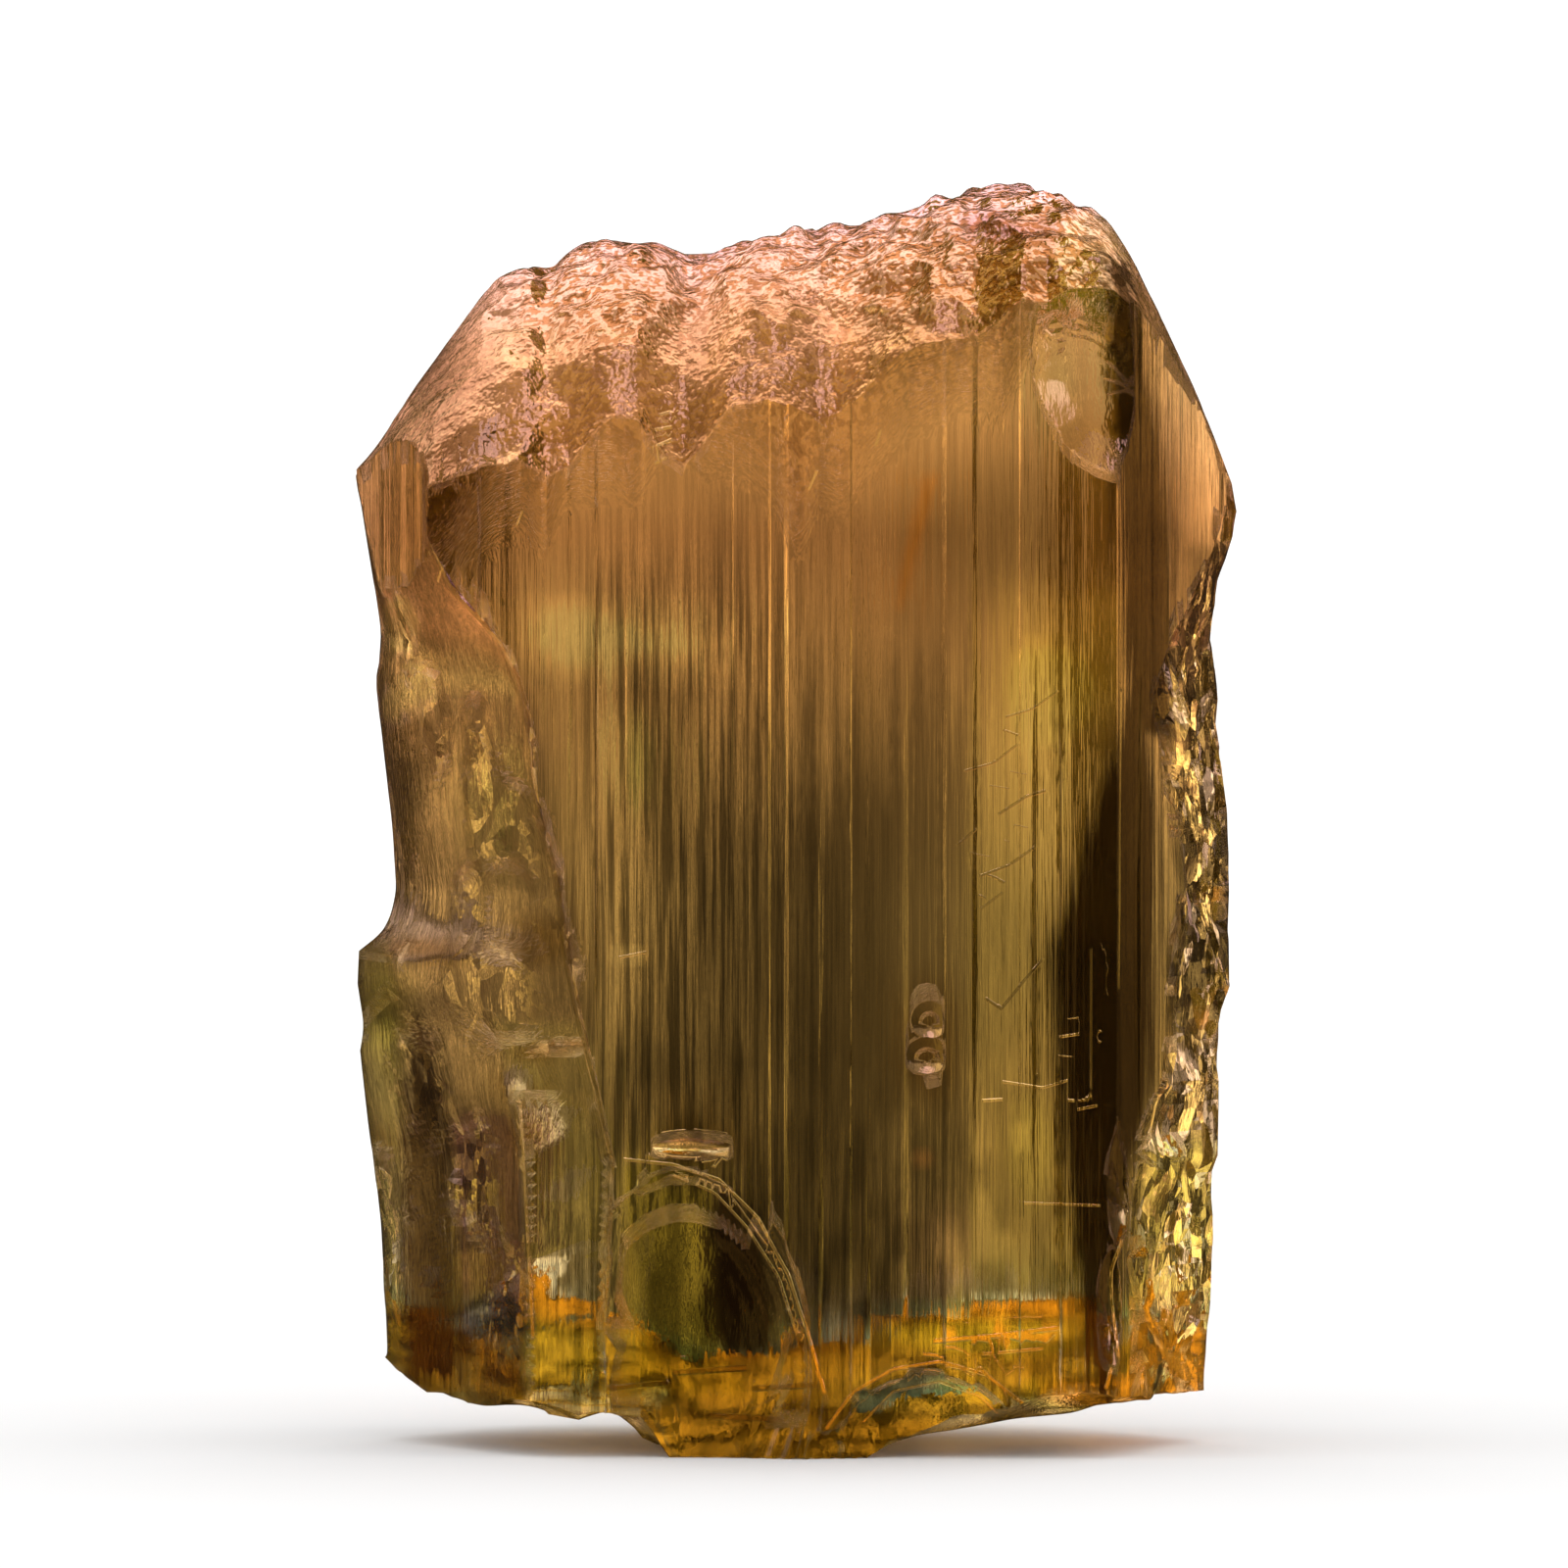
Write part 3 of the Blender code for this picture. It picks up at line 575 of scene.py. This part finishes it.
def needs_third_round(edge):
    """Whether an edge is divided once more: the head's front slope, and long ones on the front."""
    y = ((edge.verts[0].co + edge.verts[1].co) / 2).y
    length = edge.calc_length()
    if all(face.material_index == ETCHED for face in edge.link_faces):
        return y < HEAD_FINE_Y and length > HEAD_FINE_EDGE
    facing = -edge.link_faces[0].normal.y
    return y < FRONT_FINE_Y and length > FRONT_FINE_EDGE and facing > FRONT_FINE_FACING


def subdivide(shape, edges):
    bmesh.ops.subdivide_edges(shape, edges=edges, cuts=1, use_grid_fill=True)
    bmesh.ops.triangulate(shape, faces=[face for face in shape.faces if len(face.verts) > 3])
    shape.normal_update()


def fine_shape():
    """The CAD node's mesh in millimetres, welded, subdivided, and marked with each face's kind."""
    shape = bmesh.new()
    shape.from_mesh(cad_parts[NODE].data)
    bmesh.ops.remove_doubles(shape, verts=shape.verts, dist=2e-6)
    bmesh.ops.scale(shape, vec=(1 / MM, 1 / MM, 1 / MM), verts=shape.verts)
    shape.normal_update()
    for face in shape.faces:
        face.material_index = kind_of(np.array(face.calc_center_median()), np.array(face.normal))
    subdivide(shape, shape.edges)
    back = [f for f in shape.faces if f.material_index == GROWN and f.normal.y > 0.1]
    kept = {edge for face in back for edge in face.edges}
    subdivide(shape, [edge for edge in shape.edges if edge not in kept])
    subdivide(shape, [edge for edge in shape.edges if needs_third_round(edge)])
    return shape


def rounded(shape, kinds, angle, rounds, furthest_x=math.inf):
    """Smooths the points that have only faces of these kinds and no edge sharper than the angle."""
    shape.normal_update()
    inner = []
    for vert in shape.verts:
        same = all(face.material_index in kinds for face in vert.link_faces)
        if same and vert.co.x < furthest_x:
            if all(edge.calc_face_angle(0.0) < angle for edge in vert.link_edges):
                inner.append(vert)
    for _ in range(rounds):
        bmesh.ops.smooth_vert(
            shape, verts=inner, factor=0.5, use_axis_x=True, use_axis_y=True, use_axis_z=True
        )


def array_of(collection, name, width=1, kind=float):
    values = np.zeros(len(collection) * width, kind)
    collection.foreach_get(name, values)
    return values.reshape(-1, width) if width > 1 else values


def shares_of(mesh, kinds):
    """For each point of the mesh, the share of its faces that have each kind."""
    shares = np.zeros((len(mesh.vertices), len(kinds)))
    corners = array_of(mesh.loops, "vertex_index", kind=int)
    of_corner = np.repeat(array_of(mesh.polygons, "material_index", kind=int), 3)
    for column, kind in enumerate(kinds):
        np.add.at(shares[:, column], corners[of_corner == kind], 1.0)
    return shares / np.maximum(shares.sum(axis=1, keepdims=True), 1.0)


def spread(mesh, values, rounds):
    """Lets a value on the mesh's points soak out to their neighbours."""
    ends = array_of(mesh.edges, "vertices", 2, int)
    count = np.bincount(ends.ravel(), minlength=len(values))
    for _ in range(rounds):
        total = np.bincount(ends[:, 0], values[ends[:, 1]], len(values))
        total += np.bincount(ends[:, 1], values[ends[:, 0]], len(values))
        values = np.maximum(values, total / count * 1.25)
    return np.clip(values, 0.0, 1.0)


# What covers the crystal, point by point


def etched_share(places, grown, etched, on_front):
    """How etched each point is: the head, and the front in drips below it, but not the shell."""
    x, _, z = places.T
    left, right = SHOULDERS
    between = smooth_step(left, left + SHOULDER_WIDTH, x) * smooth_step(right, right - SHOULDER_WIDTH, x)
    line = along(ETCH_LINE, x) + ETCH_RISE + layered(places, DRIPS)
    drips = on_front * grown * smooth_step(line - ETCH_FADE, line + ETCH_FADE, z)
    off_shell = smooth_step(0.8, 1.1, chip_reach(SMOOTH_SHELL, x, z))
    return np.clip(etched * (0.6 + 0.4 * between) + drips, 0, 1) * off_shell


def cover_of(mesh, places):
    """How far each kind of surface covers each point of the mesh, from 0 to 1."""
    x, y, z = places.T
    grown, etched, broken = shares_of(mesh, (GROWN, ETCHED, BROKEN)).T
    front_start, front_full = FRONT_DEPTH
    on_front = smooth_step(FRONT_Y + front_start, FRONT_Y + front_full, y)
    etching = etched_share(places, grown, etched, on_front)

    # Torn facets: all of the right break, the left break's worn rim and crumbs beside it.
    on_rim = (grown * broken > 0.02) * on_front * (x < 0) * (z > LEDGE[1])
    rim = spread(mesh, on_rim * 1.0, 2)
    side = broken * smooth_step(*RIGHT_BREAK_X, x) * smooth_step(*RIGHT_BREAK_Z, z)
    side *= 0.4 + 0.6 * smooth_step(*BLOCK_Z, z)
    worn = rim * (1.0 + layered(places, RIM_WEAR)) * (y < FRONT_Y + RIM_DEPTH)
    on_left = broken * smooth_step(*LEFT_BREAK_X, x)
    crumbs = on_left * smooth_step(0.02, 0.22, layered(places, CRUMBS))
    torn = np.maximum(np.clip(worn + side, 0, 1), 0.45 * crumbs)

    # The streaked middle, wider at the foot.
    middle = smooth_step(*STREAKED_LEFT, x) * smooth_step(*STREAKED_RIGHT, x)
    middle *= smooth_step(*STREAKED_TOP, z)
    low_middle = smooth_step(*STREAKED_LOW_Z, z) * smooth_step(*STREAKED_LOW_X, x)
    middle = np.maximum(middle, 0.6 * low_middle)
    silky = on_left * (1 - torn) * 0.6
    busy = grown * (1 - etching) * (0.20 + 0.80 * middle)
    # The left rim counts as etched too: it takes the etched flecks' painted highlights, and the etch's
    # roughness and bump.
    return SimpleNamespace(
        grown=grown, broken=broken, on_front=on_front, etching=np.clip(etching + rim * 0.8, 0, 1),
        torn=torn, at_side=side > 0, middle=middle, silky=silky, busy=busy,
    )


# Relief: heights in millimetres


def striations(places, normals):
    """Height of the fine vertical grooves of the prism faces at each place."""
    facing = np.stack([normals[:, :2] @ plane_normal for plane_normal, _ in PLANES], axis=1)
    face = facing.argmax(axis=1)
    tangents = np.array([(-normal[1], normal[0]) for normal, _ in PLANES])
    across = (places[:, :2] * tangents[face]).sum(axis=1) + face * FACE_SHIFT
    height = np.zeros(len(places))
    for pitch, length, depth, seed in GROOVES:
        grid = np.stack([across / pitch, places[:, 2] / length, face * FACE_LAYERS], axis=1)
        height += depth * (soft_noise(grid, seed) - 0.5)
    return height


def etch_relief(places, normals):
    """Height of the etch hills of the head, and of the small jags along its ridge."""
    on_ridge = smooth_step(0.6, 0.9, normals[:, 2])
    return layered(places, HILLS) + layered(places, JAGS) * on_ridge


def shell_ripples(places):
    """Height of the arcs that a shell-like chip shows near its rim."""
    height = SHELL_HEIGHT * soft_noise(places / SHELL_PITCH, SHELL_SEED)
    waver = ARC_WAVER * soft_noise(places / ARC_WAVER_PITCH, ARC_SEED)
    for chip in (LOWER_CHIP, FOOT_CHIP, SMOOTH_SHELL):
        reach = chip_reach(chip, places[:, 0], places[:, 2])
        near_rim = smooth_step(0.35, 0.8, reach) * smooth_step(1.15, 1.0, reach)
        height += ARC_HEIGHT * np.sin((reach + waver) * 2 * math.pi / ARC_PITCH) * near_rim
    return height


def relief(places, normals, cover):
    """Height of everything finer than the CAD mesh, above its surface."""
    shell = cover.broken * (1 - cover.torn) * cover.on_front
    chunky = cover.torn * np.where(cover.at_side, 1.0, 0.7)
    return (
        cover.grown * striations(places, normals)
        + cover.etching * etch_relief(places, normals)
        + shell * shell_ripples(places)
        + chunky * layered(places, HACKLE, sharp=True)
    )


# The crystal


def streaked_share(places, moved, cover, cloud, foot):
    """What streaks, flakes and patches multiply the body's tint by, with the streaks in the foot's
    painted light.
    """
    x, _, z = places.T
    swing = 0.15 + cover.middle * (0.25 + 0.25 * smooth_step(24.0, 12.0, z))
    bundles = 1 - swing + 2 * swing * smooth_step(0.25, -0.25, layered(places, BUNDLES))
    flakes = 1 + foot * (1.5 * smooth_step(-0.12, 0.12, layered(moved, FLAKES)) - 0.7)
    low = smooth_step(*PATCHY_Z, z) * smooth_step(*PATCHY_X, x) * cover.on_front * (1 - foot)
    patches = 1 + low * (smooth_step(-0.2, 0.2, layered(moved, PATCHES)) - 0.5)
    fringe = smooth_step(-0.1, 0.1, layered(moved, FRINGE))
    return bundles * flakes * patches * (1 - 0.7 * foot * smooth_step(*FRINGE_Z, z) * fringe)


def paint(mesh, places, moved, cover):
    """Keeps on the mesh what the material reads. Places are those before the relief moved them."""
    x, _, z = places.T
    cloud = layered(places, CLOUDS)
    foot = smooth_step(FOOT_FADE, -FOOT_FADE, z + 0.6 * cloud - along(FOOT_TOP, x))
    tint = body_tint_and_painted_light(x, z, cloud, layered(moved, LINES), foot)
    tint *= streaked_share(places, moved, cover, cloud, foot)[:, None]
    depths = [band_depth(left, right, x, z) for left, right in SHADES]
    mark_side, mark_past, mark_shine = stroke_distances(x, z)
    fields = {
        "grown": cover.grown * (1 - cover.etching) + cover.silky,
        "etched": cover.etching,
        "torn": cover.torn,
        "busy": cover.busy + cover.silky * 0.5,
        "shade": np.max(depths, axis=0),
        "mark_side": mark_side,
        "mark_past": np.where(cover.on_front > 0.5, mark_past, FAR_PAST),
        "mark_shine": mark_shine,
        # where the etched flecks' painted highlights are pink
        "top": smooth_step(*PINK_HIGHLIGHT_TOP, z + 3 * cloud),
    }
    for name, values in fields.items():
        mesh.attributes.new(name, "FLOAT", "POINT").data.foreach_set("value", values)
    # The body's colour, with its painted light and shade, kept for the material.
    rgba = np.concatenate([np.clip(tint, 0.0, 1.0), np.ones((len(x), 1))], axis=1)
    mesh.attributes.new("body", "FLOAT_COLOR", "POINT").data.foreach_set("color", rgba.ravel())
    bent = np.stack([soft_noise(moved / BEND_PITCH, seed) for seed in BEND_SEEDS], axis=1)
    cells = moved * FACETS_PER_MM + bent * BEND
    mesh.attributes.new("cells", "FLOAT_VECTOR", "POINT").data.foreach_set("vector", cells.ravel())


def make_crystal():
    shape = fine_shape()
    rounded(shape, (BROKEN, FOOT), BREAK_ANGLE, BREAK_ROUNDS, furthest_x=RIGHT_BREAK_X[0])
    rounded(shape, (ETCHED,), HEAD_ANGLE, HEAD_ROUNDS)
    mesh = bpy.data.meshes.new(PIECE)
    shape.to_mesh(mesh)
    shape.free()
    mesh.attributes.remove(mesh.attributes["custom_normal"])

    places = array_of(mesh.vertices, "co", 3)
    normals = array_of(mesh.vertex_normals, "vector", 3)
    cover = cover_of(mesh, places)
    moved = places + normals * relief(places, normals, cover)[:, None]
    mesh.vertices.foreach_set("co", (moved * MM).ravel())
    paint(mesh, places, moved, cover)
    mesh.polygons.foreach_set("material_index", np.zeros(len(mesh.polygons), int))
    mesh.update()
    mesh.shade_smooth()
    mesh.set_sharp_from_angle(angle=SHARP_ANGLE)

    crystal = bpy.data.objects.new(PIECE, mesh)
    bpy.context.scene.collection.objects.link(crystal)
    mesh.materials.append(heliodor_material())
    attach(crystal, "root")
    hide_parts(NODE)


# Node graphs


class Graph:
    """Short ways to add nodes to one node tree."""

    def __init__(self, tree):
        self.nodes, self.links = tree.nodes, tree.links

    def add(self, kind, inputs=(), **settings):
        made = self.nodes.new("ShaderNode" + kind)
        for name, value in settings.items():
            setattr(made, name, value)
        for name, value in dict(inputs).items():
            self.put(value, made.inputs[name])
        return made

    def put(self, value, socket):
        if isinstance(value, bpy.types.NodeSocket):
            self.links.new(value, socket)
        else:
            socket.default_value = value

    def math(self, operation, *values):
        made = self.add("Math", operation=operation)
        for value, socket in zip(values, made.inputs):
            self.put(value, socket)
        return made.outputs["Value"]

    def total(self, *values):
        """The sum of two or more values."""
        sum_so_far = values[0]
        for value in values[1:]:
            sum_so_far = self.math("ADD", sum_so_far, value)
        return sum_so_far

    def product(self, *values):
        """The product of two or more values."""
        product_so_far = values[0]
        for value in values[1:]:
            product_so_far = self.math("MULTIPLY", product_so_far, value)
        return product_so_far

    def vector(self, operation, *values, output="Vector"):
        made = self.add("VectorMath", operation=operation)
        for value, socket in zip(values, made.inputs):
            self.put(value, socket)
        return made.outputs[output]

    def scaled(self, vector, factor):
        made = self.add("VectorMath", {"Vector": vector, "Scale": factor}, operation="SCALE")
        return made.outputs["Vector"]

    def span(self, value, low, high, start=0.0, end=1.0):
        """Start at low, end at high, and a smooth change between them."""
        made = self.add("MapRange", interpolation_type="SMOOTHSTEP")
        for number, given in enumerate((value, low, high, start, end)):
            self.put(given, made.inputs[number])
        return made.outputs["Result"]

    def mix(self, share, first, second, blend="MIX"):
        made = self.add("Mix", data_type="RGBA", blend_type=blend)
        for number, given in ((0, share), (6, first), (7, second)):
            self.put(given, made.inputs[number])
        return made.outputs[2]

    def noise(self, vector, detail, roughness):
        inputs = {"Vector": vector, "Scale": 1.0, "Detail": detail, "Roughness": roughness}
        return self.add("TexNoise", inputs).outputs["Fac"]

    def attribute(self, name, output="Fac"):
        return self.add("Attribute", attribute_name=name).outputs[output]


def torn_facets(graph, torn, uneven):
    """Each cell of a torn break has its own tilt, a painted light and shade of its own, and some a
    painted sparkle: bump, light and sparkle.
    """
    split = graph.attribute("cells", "Vector")
    cells = graph.add("TexVoronoi", {"Vector": split, "Scale": 1.0})
    off_middle = graph.vector("SUBTRACT", split, cells.outputs["Position"])
    slant = graph.vector("SUBTRACT", cells.outputs["Color"], (0.5, 0.5, 0.5))
    tilt = graph.vector("DOT_PRODUCT", off_middle, slant, output="Value")
    tone = graph.vector("DOT_PRODUCT", cells.outputs["Color"], (0.7, 0.3, 0.0), output="Value")
    light = graph.product(torn, graph.span(tone, 0.25, 0.85, -0.5, 0.9))
    sparkle = graph.product(torn, graph.span(graph.total(uneven, tone), 1.16, 1.24))
    return graph.product(tilt, torn, FACET_BUMP), light, sparkle


def heliodor_material():
    material = bpy.data.materials.new("heliodor")
    material.use_nodes = True
    graph = Graph(material.node_tree)
    surface = graph.nodes["Principled BSDF"]
    place = graph.vector("MULTIPLY", graph.add("TexCoord").outputs["Object"], (1 / MM,) * 3)
    grown, etched, torn, busy = (graph.attribute(name) for name in ("grown", "etched", "torn", "busy"))

    # One noise, drawn out into grooves on the grown faces, and another for the etched flecks.
    drawn = graph.vector("MULTIPLY", place, GROOVE_GRAIN)
    even = graph.vector("MULTIPLY", place, EVEN_GRAIN)
    streaks = graph.noise(graph.mix(grown, even, drawn), detail=3.0, roughness=0.65)
    uneven = graph.noise(graph.vector("MULTIPLY", place, FLECK_GRAIN), detail=1.0, roughness=0.6)
    facet_bump, facet_painted_light, sparkle = torn_facets(graph, torn, uneven)

    # Cracks, chip rims and glints: painted highlights and dark lines.
    off_line = graph.math("ABSOLUTE", graph.attribute("mark_side"))
    past_end = graph.attribute("mark_past")
    on_mark = graph.product(
        graph.span(off_line, 0.7, 1.3, 1.0, 0.0), graph.span(past_end, -0.05, 0.1, 1.0, 0.0)
    )
    shine = graph.product(on_mark, graph.attribute("mark_shine"))
    glint = graph.math("MAXIMUM", shine, 0.0)
    crack = graph.math("MAXIMUM", graph.product(shine, -1.0), 0.0)

    height = graph.total(
        graph.product(streaks, graph.span(grown, 0, 1, EVEN_BUMP, GROOVE_BUMP)),
        graph.product(uneven, etched, ETCH_BUMP),
        graph.product(on_mark, MARK_BUMP),
        facet_bump,
    )
    bump = graph.add("Bump", {"Height": height, "Distance": MM, "Strength": 1.0})
    graph.put(bump.outputs["Normal"], surface.inputs["Normal"])

    # The tint: the body's colour with its painted light and shade, with streaks, the etched flecks'
    # painted shade and highlights, painted sparkles, painted shade where light is lost, painted glints
    # and cracks.
    streaked = graph.product(busy, graph.span(streaks, 0.38, 0.60, 0.9, -0.85))
    tint = graph.scaled(graph.attribute("body", "Color"), graph.total(streaked, facet_painted_light, 1.0))
    fleck = graph.span(uneven, 0.45, 0.55)
    front_fleck, top_fleck = (graph.mix(fleck, *pair) for pair in (FRONT_FLECK_SHADE_AND_HIGHLIGHT, TOP_FLECK_SHADE_AND_HIGHLIGHT))
    flecks = graph.mix(graph.attribute("top"), front_fleck, top_fleck)
    tint = graph.mix(etched, tint, flecks, "MULTIPLY")
    tint = graph.mix(sparkle, tint, SPARKLE_TINT)
    waver = graph.product(graph.math("SUBTRACT", streaks, 0.5), 1.6)
    lost = graph.span(graph.total(graph.attribute("shade"), waver), -0.5, 0.4)
    tint = graph.mix(lost, tint, LOST_TINT)
    tint = graph.mix(glint, tint, GLINT_TINT)
    tint = graph.mix(crack, tint, CRACK_TINT)
    graph.put(tint, surface.inputs["Base Color"])

    graph.put(graph.product(etched, ETCH_ROUGHNESS), surface.inputs["Roughness"])
    graph.put(IOR, surface.inputs["IOR"])
    graph.put(1.0, surface.inputs["Transmission Weight"])
    volume = graph.add("VolumeAbsorption", {"Color": ABSORPTION_COLOUR, "Density": ABSORPTION_DENSITY})
    graph.put(volume.outputs["Volume"], graph.nodes["Material Output"].inputs["Volume"])
    return material


# The studio


def sorted_rays(graph):
    """Two values, 1 or 0: whether a ray sees the pale studio, as the camera's rays and diffuse ones
    do, and whether it is mirrored by the crystal. The rest go through the crystal."""
    path = graph.add("LightPath")
    plain = graph.math("MAXIMUM", path.outputs["Is Camera Ray"], path.outputs["Is Diffuse Ray"])
    return plain, path.outputs["Is Reflection Ray"]


def make_floor():
    bpy.ops.mesh.primitive_circle_add(
        vertices=FLOOR_POINTS, radius=FLOOR_RADIUS, fill_type="NGON", location=(0, 0, -FLOOR_DROP)
    )
    floor = bpy.context.object
    floor.name = "floor"
    material = bpy.data.materials.new("floor")
    material.use_nodes = True
    graph = Graph(material.node_tree)
    surface = graph.nodes["Principled BSDF"]
    plain, mirrored = sorted_rays(graph)
    in_crystal = graph.mix(mirrored, FLOOR_TINT_THROUGH, FLOOR_TINT_MIRRORED)
    graph.put(graph.mix(plain, in_crystal, FLOOR_TINT), surface.inputs["Base Color"])
    graph.put(1.0, surface.inputs["Roughness"])
    graph.put(0.0, surface.inputs["Specular IOR Level"])
    # Under and near the crystal the floor glows for rays through it, as if lit from below.
    off_middle = graph.vector("LENGTH", graph.add("TexCoord").outputs["Object"], output="Value")
    through = graph.math("SUBTRACT", 1.0, graph.math("MAXIMUM", plain, mirrored))
    glow = graph.product(through, graph.span(off_middle, *GLOW_RADII, GLOW_POWER, 0.0))
    graph.put(GLOW_COLOUR, surface.inputs["Emission Color"])
    graph.put(glow, surface.inputs["Emission Strength"])
    material.cycles.emission_sampling = "NONE"
    floor.data.materials.append(material)


def make_world():
    """A pale surround, and within the crystal a dimmer room: dark at the sides, bright above."""
    world = bpy.data.worlds.new("studio")
    bpy.context.scene.world = world
    world.use_nodes = True
    graph = Graph(world.node_tree)
    plain, mirrored = sorted_rays(graph)
    pale = graph.nodes["Background"]
    graph.put(SURROUND_COLOUR, pale.inputs["Color"])
    graph.put(SURROUND_POWER, pale.inputs["Strength"])
    looking = graph.add("TexCoord").outputs["Generated"]
    direction = graph.add("SeparateXYZ", {"Vector": looking})

    def window(way, half_width, power):
        nearness = graph.vector("DOT_PRODUCT", looking, Vector(way).normalized(), output="Value")
        edge = math.cos(math.radians(half_width))
        return graph.span(nearness, edge - WINDOW_EDGE, edge + WINDOW_EDGE, 0.0, power)

    lengthwise = graph.math("ABSOLUTE", direction.outputs["Y"])
    upward = direction.outputs["Z"]
    through_power = graph.total(
        graph.span(lengthwise, *ROOM_LENGTHWISE), ROOM_POWER, graph.span(upward, *ROOM_ABOVE),
        *(window(*given) for given in WINDOWS),
    )
    mirrored_power = graph.total(*(window(*given) for given in MIRRORED), MIRRORED_POWER)
    strength = graph.total(
        graph.product(through_power, graph.math("SUBTRACT", 1.0, mirrored)),
        graph.product(mirrored_power, mirrored),
    )
    colour = graph.mix(graph.span(upward, *ROOM_WARMTH), *ROOM_COLOURS)
    room = graph.add("Background", {"Color": colour, "Strength": strength})
    mix = graph.add("MixShader", {0: plain, 1: room.outputs["Background"], 2: pale.outputs["Background"]})
    graph.put(mix.outputs["Shader"], graph.nodes["World Output"].inputs["Surface"])


def make_camera():
    """The photograph's view: a little above level, with the photograph's frame around the crystal."""
    target_x, target_z = pixel_place(PHOTO_SIZE / 2, PHOTO_SIZE / 2)
    target = Vector((target_x * MM, 0.0, target_z * MM))
    camera = bpy.data.cameras.new("camera")
    camera.sensor_width = SENSOR_WIDTH
    camera.lens = SENSOR_WIDTH * CAMERA_DISTANCE / (PHOTO_SIZE * MM_PER_PIXEL * MM)
    camera.clip_start = CLIP_START
    made = bpy.data.objects.new("camera", camera)
    back = Vector((0.0, -math.cos(CAMERA_ELEVATION), math.sin(CAMERA_ELEVATION)))
    made.location = target + back * CAMERA_DISTANCE
    made.rotation_euler = (-back).to_track_quat("-Z", "Y").to_euler()
    bpy.context.scene.collection.objects.link(made)
    bpy.context.scene.camera = made


def set_up_light_paths():
    scene = bpy.context.scene
    scene.view_settings.view_transform = "Standard"
    scene.cycles.max_bounces = BOUNCES
    scene.cycles.transmission_bounces = BOUNCES
    scene.cycles.glossy_bounces = BOUNCES
    scene.cycles.use_denoising = True
    scene.world.cycles.sampling_method = "NONE"


make_camera()
make_world()
make_floor()
make_crystal()
set_up_light_paths()
